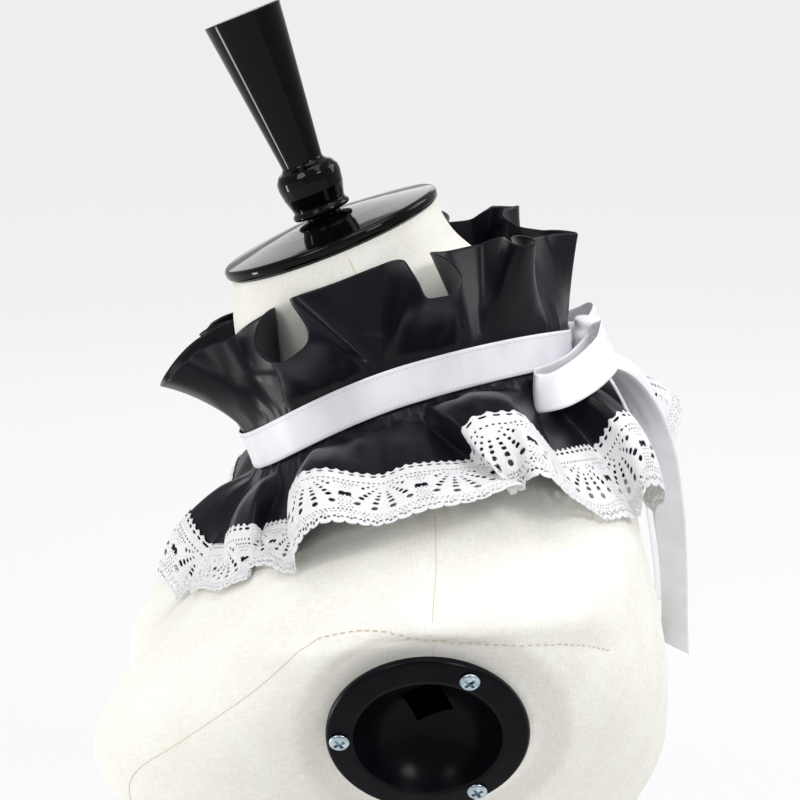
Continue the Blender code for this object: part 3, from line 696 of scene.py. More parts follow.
capShape = {
    "centre": (0.0, -30.3, 75.7),
    "tilt": 21.6,
    "sides": 128,
    "round": 7.2,
    "profile": ((0, 0), (50.2, 0), (51.6, 1.2), (51.9, 4.2), (50.6, 5.6), (42.0, 7.0),
                (30, 8.9), (18, 10.5), (8.5, 11.4), (0, 11.4)),
}
knobShape = {
    "sides": 80,
    "round": 3.0,
    "profile": ((0, 11.45), (8.4, 11.45), (8.0, 12.2), (8.8, 12.8), (12.9, 13.1), (13.7, 14.2),
                (13.2, 15.6), (12.2, 16.4), (12.6, 18.4), (14.1, 23.4), (14.9, 28.6),
                (14.6, 31.8), (12.8, 34.6), (10.4, 36), (9.6, 37.2), (9.7, 38.4), (17.8, 106.8),
                (18, 107.4), (17.6, 107.8), (0, 107.8)),
}


def makeCap():
    tilt = math.radians(capShape["tilt"])
    axis = np.array((0.0, -math.sin(tilt), math.cos(tilt)))
    seat = np.array(capShape["centre"]) + axis * seamGap
    for name, node, shape in (("neckCap", "neck_cap", capShape), ("finialKnob", "finial", knobShape)):
        outline = roundedProfile(shape["profile"], shape["round"])
        mesh = turnedMesh(name, outline, seat, axis, shape["sides"])
        addPiece(mesh, lacquer, node, crisp=60)


makeCap()

# Arm plates and their screws

plateProfile = (
    (0, -36), (13.6, -36), (13.6, -19.6), (21, -15), (26.6, -9), (29.8, 0.3),
    (armPlate["radius"], 0.3), (armPlate["radius"], 3.2), (39.6, 4.6), (31.2, 5.2), (29.6, 4.9),
)
bowlShape = {"radius": 30.3, "depth": 18.2, "rim": 28.6, "steps": 40}
socketCut = {"middle": -6.5, "length": 53.0}
plateRound = 1.6
screwShape = {
    "profile": ((0, 5.2), (4.1, 5.2), (4.1, 5.9), (3.3, 6.6), (0, 6.9)),
    "round": 0.8,
    "top": 6.9,
    "slot": (5.0, 1.35),
    "slotDepth": 1.5,
    "cutAbove": 0.6,      # how far the cutter stands out of the head
    "sides": 48,
}


def makeArmPlate(side, word):
    axis, centre = plateAxis(side)
    level = np.array([0.0, 1.0, 0.0])
    high = unit(np.cross(axis, level)) * -side

    def toward(angle):
        return level * math.cos(angle) + high * math.sin(angle)

    outline = roundedProfile(plateProfile, plateRound)
    radius = bowlShape["radius"]
    for turn in np.linspace(math.asin(bowlShape["rim"] / radius), 0.0, bowlShape["steps"]):
        outline.append((radius * math.sin(turn), radius * (1 - math.cos(turn)) - bowlShape["depth"]))
    mesh = turnedMesh("armPlate" + word, outline, centre, axis, armPlate["sides"])
    plate = addPiece(mesh, plastic, "arm_plate_" + word.lower())
    turn = math.radians(armPlate["socketTurn"])
    across = (toward(-turn), toward(math.pi / 2 - turn), axis)
    socket = armPlate["socketSide"]
    cutBlock(plate, centre + axis * socketCut["middle"], across, (socket, socket, socketCut["length"]))
    plate.data.set_sharp_from_angle(angle=math.radians(35))
    long, short = screwShape["slot"]
    deep = screwShape["slotDepth"] + screwShape["cutAbove"]
    for number, angle in enumerate(armPlate["screwAngles"], start=1):
        spot = math.radians(angle)
        place = centre + toward(spot) * armPlate["screwCircle"]
        outline = roundedProfile(screwShape["profile"], screwShape["round"])
        mesh = turnedMesh(f"plateScrew{word}{number}", outline, place, axis, screwShape["sides"])
        screw = addPiece(mesh, zinc, f"plate_screw_{word.lower()}_{number}")
        first = toward(spot * 1.7 + number)
        top = place + axis * (screwShape["top"] + screwShape["cutAbove"] - deep / 2)
        for size in ((long, short, deep), (short, long, deep)):
            cutBlock(screw, top, (first, np.cross(axis, first), axis), size)
        screw.data.set_sharp_from_angle(angle=math.radians(35))


for side, word in bodySides:
    makeArmPlate(side, word)
print("cap, knob, arm plates and screws made")


# The frills

upperFrill = {
    "height": 44.0,
    "rootWidth": 7.6,     # sewn down under the ribbon
    "ramp": 3.4,
    "columns": 560,
    "rowStep": 1.2,
    "freeGap": 1.0,
    "thickness": 0.45,
}
# One row for each fold line, in degrees: where it leaves the ribbon, its lean round the neck and
# its flare away from the neck.
upperFront = (
    (-47, 16, -4), (-44, 22, 18), (-38, 10, 32), (-28, -8, 34), (-20, -12, 24), (-15.5, -18, 4),
    (-13, -22, -10), (-10, -14, 8), (-6, -16, 22), (-1, -18, 30), (5, -18, 37), (13, -12, 39),
    (23, -10, 36), (34, -18, 22), (41, -30, 4),
)
upperLeft = (
    (43.6, -27, -8), (44.8, -18, -12), (46, 6, -8), (47.2, 27, 0), (48.6, 28, 24), (51, 25, 46),
    (57, 19, 63), (65, 10, 69), (73, 4, 64), (78, -8, 54), (81, -24, 28), (82.4, -31, 6),
    (83.6, -10, -2), (84.8, 20, 0), (86.2, 30, 20), (89, 28, 44), (96, 13, 60), (105, 4, 60),
    (110, 0, 50), (112.6, -8, 30), (113.8, -14, 4), (115, 0, -12), (117, 20, -12), (119.4, 22, 4),
    (126, 4, 20), (134, -10, 27), (141, -18, 24), (146, -24, 14), (148.6, -26, -2),
    (150.4, -18, -14), (154, 0, -18), (161, 8, -12), (169, 0, -5), (174.5, -4, 3), (178, -6, 9),
)
lowerFrill = {
    "satinLength": 62.0,
    "laceStart": 42.0,
    "laceEnd": 78.0,
    "rootWidth": 7.6,
    "ramp": 5.0,
    "columns": 800,
    "rowStep": 1.3,
    "freeGap": 2.2,
    "thickness": 0.45,
}
# The same, with the flare at the ribbon and at the lace's lower edge, from straight down.
lowerFront = (
    (-50, -4, 34, 4), (-46, 4, 58, 2), (-40, 8, 84, 14), (-30, 2, 92, 22), (-20, -6, 84, 14),
    (-14, -10, 58, 4), (-10, 8, 70, 8), (-4, 4, 92, 26), (3, -6, 100, 34), (10, -14, 93, 22),
    (16, -22, 78, 4),
)
lowerLeft = (
    (19.5, -16, 62, -6), (22.5, 2, 76, -10), (26, 8, 92, -6), (31, 12, 96, 0), (36, 15, 90, 0),
    (39.5, 6, 64, -10), (43, -6, 36, -2), (46.6, 4, 38, 12), (50, 11, 64, 20), (53, 13, 88, 26),
    (57, 17, 98, 33), (66, 8, 88, 44), (73, 6, 68, 52), (80, 2, 54, 60), (86, 3, 58, 55),
    (90, 14, 46, 64), (92.2, 25, 34, 76), (94.2, 23, 62, 48), (96, 15, 92, 16), (100, 10, 110, -6),
    (108, -1, 113, -5), (114.5, -9, 110, 0), (121, -18, 98, 28), (128, -25, 68, 56),
    (133, -16, 32, 58), (136.5, 6, 14, 36), (139.5, 10, 46, 16), (143, 3, 88, 0), (149, -4, 94, -2),
    (157, -8, 86, 8), (163, -10, 60, 18), (167.5, -2, 36, 26), (173, 2, 30, 26), (178, 0, 26, 26),
)
lowerBackRight = (
    (-178, 0, 24, 22), (-173, -2, 26, 24), (-169, -4, 50, 42), (-164, 2, 72, 50), (-157, 0, 78, 46),
    (-151, 4, 70, 32), (-146, 8, 46, 26),
)
# Creases: seam angle, drift in degrees to the far end, start, end, height and width in mm.
upperCreases = (
    (52, -10, 0, 30, 0.68, 3), (61, -3, 0, 22, -0.52, 3.4), (70, 6, 0, 26, 0.52, 3),
    (75.5, 3, 0, 18, -0.45, 2.7), (88, -6, 0, 24, 0.6, 2.8), (94, -3, 0, 30, -0.45, 3.8),
    (101, 3, 0, 20, 0.45, 3), (107, 5, 0, 26, 0.52, 2.7), (121, -4, 0, 22, 0.45, 3),
    (130, 3, 0, 18, -0.38, 3), (138, 5, 0, 26, 0.45, 3.4), (158, -4, 0, 20, 0.38, 3),
    (2, -3, 0, 24, 0.52, 3.4), (9, 2, 0, 18, -0.45, 3), (17, 4, 0, 28, 0.6, 3),
    (28, 6, 0, 24, 0.52, 3.4), (36, 4, 0, 18, -0.45, 2.8), (-25, -3, 0, 22, 0.52, 3),
    (-34, 4, 0, 26, 0.45, 3.4), (-60, 4, 0, 26, 0.6, 3), (-68, -3, 0, 20, -0.45, 3.4),
    (-79, 5, 0, 28, 0.52, 3), (-92, -5, 0, 24, 0.52, 3), (-104, 3, 0, 22, -0.45, 3.2),
    (-124, 4, 0, 26, 0.45, 3), (-136, -4, 0, 20, 0.45, 3), (-160, 3, 0, 24, 0.38, 3.4),
)
lowerCreases = (
    (24, -3, 2, 44, 0.68, 2.8), (28.5, 2, 0, 34, -0.6, 3), (32.5, 5, 3, 52, 0.75, 2.8),
    (37, -3, 0, 26, 0.6, 2.5), (48.5, 3, 0, 30, 0.6, 2.7), (52, -2, 0, 22, -0.52, 2.7),
    (56, 4, 2, 40, 0.75, 3), (61, -3, 0, 28, 0.68, 3), (66, 5, 0, 34, -0.6, 3.4),
    (70.5, 3, 0, 24, 0.6, 2.7), (76, -4, 0, 30, 0.6, 3), (83, 4, 0, 26, -0.52, 3),
    (97.5, -2, 0, 32, 0.6, 3), (102, 4, 0, 26, -0.52, 3.4), (107, 2, 0, 36, 0.6, 3),
    (113, -3, 0, 22, 0.52, 2.8), (119, 4, 0, 28, -0.52, 3), (142, -3, 0, 30, 0.6, 2.8),
    (149, 3, 0, 24, 0.52, 3), (157, 3, 0, 30, -0.52, 3), (5, -3, 0, 36, 0.6, 3.2),
    (-2, 3, 0, 24, -0.52, 2.8), (11, 4, 0, 44, 0.68, 2.8), (-26, 3, 0, 36, 0.68, 3.2),
    (-33, -4, 0, 26, 0.6, 2.8), (-42, 4, 0, 30, -0.52, 3), (-57, -4, 0, 38, 0.68, 3),
    (-65, 4, 0, 28, 0.6, 2.8), (-74, -3, 0, 24, -0.52, 3.2), (-98, 3, 0, 34, 0.6, 3),
    (-107, -3, 0, 28, 0.6, 2.8), (-118, 4, 0, 24, -0.52, 3), (-150, 3, 0, 30, 0.6, 3),
    (-160, -3, 0, 24, 0.52, 2.8),
)
frillCrisp = 0.6     # 0 rounds every fold, 1 leaves flat panels between sharp folds
gathers = {"spacing": 4.3, "height": 0.1, "reach": 7.0}   # small gathers at the seam
# How the right side differs from the left one.
mirrorFrill = {"stretch": 0.985, "shift": 1.2, "lean": 0.9, "flare": 0.94}
flareShares = (0.6, 1.4)   # of a row's one flare, at the ribbon and at the free edge
frillSteps = 160
frillStraight = 1.0        # how far a frill leaves the ribbon before it bends away
seamWeight = 1.2           # mm of a column's run for each degree of the seam
gapRise = 0.45             # how fast the gap to the form grows with the distance


def neckFrame(angles):
    # Points on the ribbon's two edges, and the directions along, up and away from the neck.
    low = ringPoints(ribbonLow, angles)
    top = ringPoints(ribbonTop, angles)
    turn = 1e-3
    ahead = ringPoints(ribbonLow, angles + turn) + ringPoints(ribbonTop, angles + turn)
    behind = ringPoints(ribbonLow, angles - turn) + ringPoints(ribbonTop, angles - turn)
    along = unit(ahead - behind)
    up = top - low
    up = unit(up - along * np.sum(up * along, axis=-1, keepdims=True))
    return low, top, along, up, np.cross(along, up)


def frillRows(front, left, backRight=()):
    # The right side is the left side mirrored, a little shallower and shifted along the seam.
    mirrored = []
    for row in reversed(left):
        seam = -(row[0] * mirrorFrill["stretch"] + mirrorFrill["shift"])
        if seam < front[0][0] - 1.0:
            flares = (mirrorFrill["flare"] * v for v in row[2:])
            mirrored.append((seam, -row[1] * mirrorFrill["lean"], *flares))
    if backRight:
        mirrored = [row for row in mirrored if row[0] > backRight[-1][0] + 2.0]
    return np.array(list(backRight) + mirrored + list(front) + list(left), float)


def frillGrid(rows, distances, length, downward, ramp):
    # Middle surface of a frill: one line of points for each row, out from the ribbon.
    low, top, along, up, out = neckFrame(np.radians(rows[:, 0]))
    start = (low if downward else top) + (formGap + wall / 2) * out
    away = -up if downward else up
    lean, root = np.radians(rows[:, 1]), np.radians(rows[:, 2])
    if rows.shape[1] > 3:
        edge = np.radians(rows[:, 3])
    else:
        root, edge = (root * share for share in flareShares)
    step = length / frillSteps
    line = [start.copy()]
    reach = 1.0 / np.cos(lean)[:, None] ** 0.9     # a leaning line of the cloth is longer
    for i in range(frillSteps):
        share = (i + 0.5) / frillSteps
        ease = smoothStep((share * length - frillStraight) / ramp)
        tip = ((root + (edge - root) * share) * ease)[:, None]
        side = (lean * ease)[:, None]
        way = np.cos(side) * (np.cos(tip) * away + np.sin(tip) * out) + np.sin(side) * along
        line.append(line[-1] + way * step * reach)
    grid = []
    for distance in distances:
        if distance <= 0:
            grid.append(start + away * distance)
            continue
        below = min(int(distance / step), frillSteps - 1)
        grid.append(line[below] + (line[below + 1] - line[below]) * (distance / step - below))
    return np.stack(grid, axis=1)


def frillColumns(rows, count, length, downward, ramp):
    # Columns spaced evenly by the run of the frill's free edge and of its seam together.
    edge = frillGrid(rows, (length,), length, downward, ramp)[:, 0]
    run = np.concatenate([[0.0], np.cumsum(
        np.linalg.norm(np.diff(edge, axis=0), axis=1) + seamWeight * np.diff(rows[:, 0]))])
    wanted = np.linspace(0.0, run[-1], count)
    smooth = curveThrough(run, rows, wanted)
    straight = np.stack([np.interp(wanted, run, rows[:, k]) for k in range(rows.shape[1])], axis=1)
    return smooth + (straight - smooth) * frillCrisp


def pushClear(grid, distances, gap):
    # Moves what comes too near the form straight out from it.
    free = np.clip(np.array(distances) - frillStraight, 0, None)
    need = np.minimum(gap, formGap + wall / 2 + gapRise * free)
    for j, distance in enumerate(distances):
        if distance <= 0:
            continue
        for i in range(grid.shape[0]):
            height, normal = heightAbove(grid[i, j])
            if height < need[j]:
                grid[i, j] += normal * (need[j] - height)
    for _ in range(3):
        soft = grid.copy()
        soft[1:-1] = grid[1:-1] * 0.5 + (grid[:-2] + grid[2:]) * 0.25
        soft[:, 1:-1] = soft[:, 1:-1] * 0.6 + (soft[:, :-2] + soft[:, 2:]) * 0.2
        free = (np.array(distances) > 0)[None, :, None]
        grid = np.where(free, soft, grid)
    return grid


def addCreases(grid, seam, distances, creases, downward):
    # Soft troughs and ridges that leave the seam and fade, and small gathers at the seam.
    normals = gridNormals(grid) * (-1 if downward else 1)
    distances = np.array(distances)
    spread = np.gradient(runAlong(grid), axis=0) / np.maximum(np.gradient(seam), 1e-6)[:, None]
    spread = np.clip(spread, 0.3, 12.0)
    height = np.zeros(grid.shape[:2])
    for angle, drift, start, end, size, width in creases:
        share = np.clip((distances - start) / (end - start), 0, 1)
        centre = angle + drift * share
        off = (seam[:, None] - centre[None, :]) * spread
        reach = width * (0.7 + 0.9 * share[None, :])
        window = (smoothStep((distances - start + 3) / 5)
                  * (1 - smoothStep((distances - end * 0.5) / (end * 0.5))))
        height += size * np.exp(-((off / reach) ** 2)) * window
    run = runAlong(grid)[:, distances.tolist().index(0.0)]
    fade = np.exp(-np.clip(distances, 0, None) / gathers["reach"]) * (distances >= 0)
    wave = np.sin(2 * math.pi * run / gathers["spacing"] + 1.6 * np.sin(run / 11.0))
    height += gathers["height"] * wave[:, None] * fade
    height *= (distances > 0)
    return grid + normals * height[..., None]


def frillSurface(shape, rows, length, creases, downward, extra=()):
    # The finished middle surface, and the distance of each of its rows from the ribbon.
    free = np.linspace(0.0, length, int(round(length / shape["rowStep"])) + 1)
    root = shape["rootWidth"]
    distances = sorted({-root, -root / 2, *(round(float(v), 3) for v in free), *extra})
    rows = frillColumns(rows, shape["columns"], length, downward, shape["ramp"])
    grid = frillGrid(rows, distances, length, downward, shape["ramp"])
    grid = pushClear(grid, distances, shape["freeGap"])
    return addCreases(grid, rows[:, 0], distances, creases, downward), np.array(distances)


def makeFrill(name, node, grid, distances, run, thickness):
    mesh = gridMesh(name, grid, (run, distances))
    piece = addPiece(mesh, blackSatin, node, thickness=thickness)
    print(name, "made, cut", round(run[-1]), "mm long")


upperGrid, upperStations = frillSurface(
    upperFrill, frillRows(upperFront, upperLeft), upperFrill["height"], upperCreases, False)
makeFrill("frillUpper", "frill_upper", upperGrid, upperStations,
          runAlong(upperGrid)[:, len(upperStations) // 2], upperFrill["thickness"])

lowerGrid, lowerStations = frillSurface(
    lowerFrill, frillRows(lowerFront, lowerLeft, lowerBackRight), lowerFrill["laceEnd"],
    lowerCreases, True, (lowerFrill["satinLength"], lowerFrill["laceStart"]))
lowerNormals = -gridNormals(lowerGrid)
laceRow = int(np.argmin(np.abs(lowerStations - 60.0)))
laceRun = runAlong(lowerGrid)[:, laceRow]
satinRows = lowerStations <= lowerFrill["satinLength"] + 0.01
makeFrill("frillLower", "frill_lower", lowerGrid[:, satinRows], lowerStations[satinRows], laceRun,
          lowerFrill["thickness"])


# The lace

laceShape = {
    "repeat": 32.0,
    "columns": 60,          # cells in one repeat, so a cell is about half a millimetre
    "height": 36.0,
    "picotPitch": 32.0 / 7,
    "picotWave": 0.45,
    "scallopPitch": 32.0 / 6,
    "scallopWave": 0.8,
    "lobeWave": 1.2,
    "lift": 0.7,            # from the middle of the satin to the middle of the lace
    "thickness": 0.38,
    "parts": 4,
    "fanSpokes": (-64, -39, -13, 13, 39, 64),
    "fanHoles": ((5.0, 0.5, 0.45), (7.3, 0.7, 0.55), (9.6, 0.9, 0.68), (12.0, 1.12, 0.82),
                 (14.6, 1.35, 1.0)),     # distance from the fan's root, half width, half length
    "fanRoot": 6.9,
    "eyeletReach": 18.4,
    "eyeletRadius": 1.42,
    "eyeletAngles": (-60, -36, -12, 12, 36, 60),
    "netRow": 1.45,
}


def laceHoles():
    # Every opening of one repeat: centre, half sizes, turn, and how square it is.
    shape = laceShape
    cell = shape["repeat"] / shape["columns"]
    middle = shape["repeat"] / 2
    holes = [((k + 0.5) * shape["picotPitch"], 1.7, 1.35, 0.85, 0.0, 2.2) for k in range(7)]
    holes += [((k + 0.5) * 4 * cell, 6.9, 0.5, 0.5, 0.0, 2.6) for k in range(15)]

    def wave(x, height):
        return height * math.cos(2 * math.pi * (x - middle) / shape["repeat"])

    for angle in shape["fanSpokes"]:
        turn = math.radians(angle)
        few = 3 if abs(angle) > 60 else 5
        for reach, half, tall in shape["fanHoles"][:few]:
            if reach > 6 or abs(angle) > 20:
                holes.append((middle + math.sin(turn) * reach,
                              shape["fanRoot"] + math.cos(turn) * reach, half, tall, -turn, 3.0))
    radius, reach = shape["eyeletRadius"], shape["eyeletReach"]
    for angle in shape["eyeletAngles"]:
        turn = math.radians(angle)
        x = middle + math.sin(turn) * reach * (1.0 - 0.08 * (abs(angle) > 50))
        holes.append((x, shape["fanRoot"] + math.cos(turn) * reach, radius, radius, 0.0, 2.0))
    net = 3 * cell
    for row in range(4):
        for k in range(-3 + row, 4 - row):
            x = (k + 0.5 * (row % 2)) * net
            if abs(x) <= net * (3.4 - row):
                holes.append((x % shape["repeat"], 9.0 + row * shape["netRow"], 0.48, 0.48, 0.0, 1.6))
    for row in range(7):
        for k in (-1.5, -0.5, 0.5, 1.5):
            x = (k + 0.5 * (row % 2)) * net
            holes.append((x % shape["repeat"], 17.6 + row * shape["netRow"], 0.47, 0.47, 0.0, 1.6))
    for k in range(18):
        for offset, level in ((0.5, 28.3), (0.0, 29.7)):
            x = (k + offset) * shape["repeat"] / 18
            holes.append((x, level + wave(x, 1.6), 0.5, 0.48, 0.0, 1.6))
    for k in range(6):
        x = (k + 0.5) * shape["scallopPitch"]
        drop = wave(x, shape["lobeWave"])
        for dx, dy, turn in ((-1.55, 32.6, 0.5), (0.0, 33.3, 0.0), (1.55, 32.6, -0.5)):
            holes.append((x + dx, dy + drop, 0.64, 0.98, turn, 2.0))
        holes.append((x, 31.3 + drop, 0.45, 0.45, 0.0, 2.0))
    return holes


def laceEdge(u):
    # The top and bottom outlines, in mm from the lace's top line.
    shape = laceShape
    top = -shape["picotWave"] * np.cos(2 * math.pi * u / shape["picotPitch"])
    phase = (u / shape["scallopPitch"]) % 1.0
    scallop = shape["scallopWave"] * (2 * np.sqrt(np.clip(1 - (2 * phase - 1) ** 2, 0, 1)) - 1)
    lobe = shape["lobeWave"] * np.cos(2 * math.pi * (u / shape["repeat"] - 0.5))
    return top, shape["height"] - 1.0 + scallop + lobe


def laceRepeat():
    # One flat repeat of the lace with its holes cut, as points and faces in mm.
    shape = laceShape
    cell = shape["repeat"] / shape["columns"]
    rows = int(round(shape["height"] / cell))
    copies = [(x + shift, *rest) for x, *rest in laceHoles()
              for shift in (-shape["repeat"], 0.0, shape["repeat"])]
    copies = np.array([h for h in copies if -3 < h[0] < shape["repeat"] + 3])
    cosine, sine = np.cos(copies[:, 4]), np.sin(copies[:, 4])

    def depthIn(x, y):
        # Below 1 inside a hole, with the number of the hole that is nearest.
        dx, dy = x - copies[:, 0], y - copies[:, 1]
        a = np.abs(dx * cosine + dy * sine) / copies[:, 2]
        b = np.abs(-dx * sine + dy * cosine) / copies[:, 3]
        level = (a ** copies[:, 5] + b ** copies[:, 5]) ** (1 / copies[:, 5])
        best = int(np.argmin(level))
        return level[best], best

    def cutOpenings(work):
        bmesh.ops.create_grid(work, x_segments=shape["columns"], y_segments=rows, size=0.5)
        for vert in work.verts:
            vert.co = Vector(((vert.co.x + 0.5) * shape["repeat"], (vert.co.y + 0.5) * rows * cell, 0))
        spots = [(face, face.calc_center_median()) for face in work.faces]
        bmesh.ops.delete(work, context="FACES",
                         geom=[face for face, spot in spots if depthIn(spot.x, spot.y)[0] < 1.0])
        for vert in work.verts:
            if not vert.is_boundary or not 0.3 * cell < vert.co.y < (rows - 0.3) * cell:
                continue
            level, best = depthIn(vert.co.x, vert.co.y)
            if 0.35 < level < 1.9:
                hole = copies[best]
                onSide = min(vert.co.x, shape["repeat"] - vert.co.x) < 1e-4
                x = vert.co.x if onSide else hole[0] + (vert.co.x - hole[0]) / level
                move = Vector((x, hole[1] + (vert.co.y - hole[1]) / level, 0)) - vert.co
                vert.co += move * min(1.0, 0.6 * cell / max(move.length, 1e-6))

    return newMesh("laceRepeat", cutOpenings)


def makeLace():
    shape = laceShape
    template = laceRepeat()
    points = readPoints(template)
    start, tall = lowerFrill["laceStart"], shape["height"]
    count = int(round(laceRun[-1] / shape["repeat"]))
    scale = laceRun[-1] / (count * shape["repeat"])
    bounds = [round(count * k / shape["parts"]) for k in range(shape["parts"] + 1)]
    lastRow = len(lowerStations) - 1.0
    for part in range(shape["parts"]):
        shifts = range(bounds[part], bounds[part + 1])
        u = np.concatenate([points[:, 0] + k * shape["repeat"] for k in shifts])
        v = np.tile(points[:, 1], len(shifts))
        top, bottom = laceEdge(u)
        v = v + top * (1 - smoothStep(v / 2.2)) + (bottom - tall) * smoothStep((v - tall + 6.0) / 6.0)
        relief = 0.12 * np.sin(u * 2 * math.pi / 1.07) * np.sin(v * 2 * math.pi / 1.3)
        column = np.interp(u * scale, laceRun, np.arange(len(laceRun)))
        row = np.interp(v + start, lowerStations, np.arange(len(lowerStations)))
        past = np.clip(v + start - lowerStations[-1], 0, None)
        way = unit(sampleGrid(lowerGrid, column, np.full_like(row, lastRow))
                   - sampleGrid(lowerGrid, column, np.full_like(row, lastRow - 2)))
        away = unit(sampleGrid(lowerNormals, column, row))
        place = (sampleGrid(lowerGrid, column, row) + way * past[:, None]
                 + away * (shape["lift"] + relief)[:, None])
        mesh = repeatedMesh(f"laceEdge{part + 1}", template, place)
        writeUv(mesh, np.stack([u, v], axis=1))
        editMesh(mesh, mergeNear(5e-6))
        piece = addPiece(mesh, laceCotton, "lace_trim", thickness=shape["thickness"])
    print("lace of", count, "repeats made, scale", round(scale, 3))


makeLace()


# Neck ribbon

ribbonShape = {
    "columns": 380,
    "rows": 15,
    "lift": 2.4,            # from the form to the middle of the ribbon
    "thickness": 0.5,
    "width": 17.5,
    "stitchInset": 1.7,
    "selvedge": 0.12,
}
# Soft hollows in the ribbon: angle, place across it from 0 low to 1 top, depth, spread in mm.
ribbonDimples = (
    (14, 0.3, -0.5, 9), (30, 0.8, -0.45, 6), (47, 0.25, 0.5, 7), (58, 0.6, -0.6, 9),
    (74, 0.8, -0.5, 7), (88, 0.3, 0.4, 8), (104, 0.5, -0.5, 9), (126, 0.6, -0.5, 8),
    (-12, 0.6, -0.5, 8), (-33, 0.4, 0.45, 7), (-55, 0.7, -0.5, 9), (-78, 0.3, -0.5, 8),
    (-100, 0.6, 0.4, 8), (-128, 0.5, -0.5, 9),
)
ribbonStitch = {"pitch": 1.75, "length": 1.15, "radius": 0.17}


def ribbonSurface():
    shape = ribbonShape
    angles = np.linspace(-math.pi, math.pi, shape["columns"] + 1)
    low, top, along, up, out = neckFrame(angles)
    shares = np.linspace(0.02, 1.0, shape["rows"])
    grid = low[:, None] + (top - low)[:, None] * shares[None, :, None] + out[:, None] * shape["lift"]
    run = runAlong(grid)[:, shape["rows"] // 2]
    height = np.zeros(grid.shape[:2])
    degrees = np.degrees(angles)
    for angle, share, size, spread in ribbonDimples:
        off = (degrees - angle) * run[-1] / 360
        across = (shares - share) * shape["width"]
        height += size * np.exp(-(off[:, None] / spread) ** 2 - (across[None, :] / 6.0) ** 2)
    edge = np.minimum(shares, 1 - shares) * shape["width"]
    height += shape["selvedge"] * np.exp(-((edge / 0.9) ** 2))[None, :]
    height += 0.1 * np.sin(run / 2.1 + 1.3 * np.sin(run / 9))[:, None] * (edge < 2.5)[None, :]
    return grid + out[:, None] * height[..., None], out, run, shares


def makeRibbon():
    shape = ribbonShape
    grid, out, run, shares = ribbonSurface()
    mesh = gridMesh("neckRibbon", grid, (run, shares * shape["width"]), closed=True)
    ribbon = addPiece(mesh, whiteSatin, "neck_ribbon", thickness=shape["thickness"])
    normals = unit(gridNormals(grid))
    columns = np.arange(len(run), dtype=float)
    for word, away in (("Low", shape["stitchInset"]), ("Top", shape["width"] - shape["stitchInset"])):
        row = np.full_like(columns, np.interp(away / shape["width"], shares, np.arange(len(shares))))
        side = sampleGrid(normals, columns, row)
        line = sampleGrid(grid, columns, row) + side * shape["thickness"] / 2
        mesh = stitchMesh("ribbonStitches" + word, line, side, ribbonStitch)
        addPiece(mesh, greyThread)


makeRibbon()
print("neck ribbon made")

# The bow

bowShape = {
    "ribbon": 17.0,
    "thickness": 0.45,
    "across": 15,
    "step": 1.2,
    "squeezed": 0.16,      # share of a strip that narrows towards the knot
    "pleat": 0.9,
    "pleatReach": 0.13,
    "cup": 0.5,
    "selvedge": 0.1,
}
# Middle line of each ribbon piece, and the way its width lies.
loopLine = (
    # x     y     z     width x  y     z
    (8.5, 88.5, 33.5, 0, -0.15, 0.99), (20, 93.5, 34.5, -0.10, -0.38, 0.92),
    (34, 92.5, 31.5, -0.24, -0.46, 0.85), (46, 85.5, 26.5, -0.34, -0.46, 0.82),
    (54.5, 76, 21.8, -0.46, -0.38, 0.80), (59, 66.5, 18.4, -0.52, -0.26, 0.82),
    (57, 59, 17, -0.38, -0.10, 0.92), (50.5, 58.5, 17.6, -0.15, 0.02, 0.98),
    (43, 66, 18.8, -0.02, 0.05, 1), (33, 74.5, 21, 0.04, 0.06, 1), (20, 82, 25, 0.02, 0.03, 1),
    (8.5, 86, 29, 0, 0, 1),
)
tailLeftLine = (
    (5.8, 87, 20, 1.00, 0.10, 0.00), (7.8, 92.5, 18.4, 0.96, 0.28, 0.06),
    (10, 99.5, 14.4, 0.88, 0.46, 0.14), (15, 107.4, 6.6, 0.76, 0.62, 0.16),
    (19.5, 114.2, -5.6, 0.66, 0.74, 0.12), (22.5, 119.4, -22.4, 0.60, 0.79, 0.06),
    (23.5, 123.2, -46, 0.62, 0.78, 0.02), (24, 126.4, -73, 0.76, 0.65, 0),
    (23.6, 127.8, -96, 0.80, 0.60, 0), (23, 128.4, -113, 0.74, 0.67, 0),
)
tailRightLine = (
    (-5.8, 87, 20, -1.00, 0.10, 0.00), (-7.4, 92.5, 18.4, -0.92, 0.40, 0.06),
    (-7.6, 99.5, 14.4, -0.66, 0.75, 0.14), (-7, 107.4, 6.6, -0.42, 0.90, 0.16),
    (-6.2, 113.6, -5.6, -0.35, 0.93, 0.12), (-4.6, 118.4, -22.4, -0.36, 0.93, 0.06),
    (-4.2, 122.4, -46, -0.48, 0.88, 0), (-5, 125.6, -70, -0.62, 0.78, 0),
    (-6, 127.2, -88, -0.72, 0.69, 0), (-6.2, 127.6, -98, -0.70, 0.71, 0),
)
knotShape = {"centre": (0.0, 85.9, 29.6), "half": (8.2, 5.8, 9.4), "columns": 96, "rows": 40}


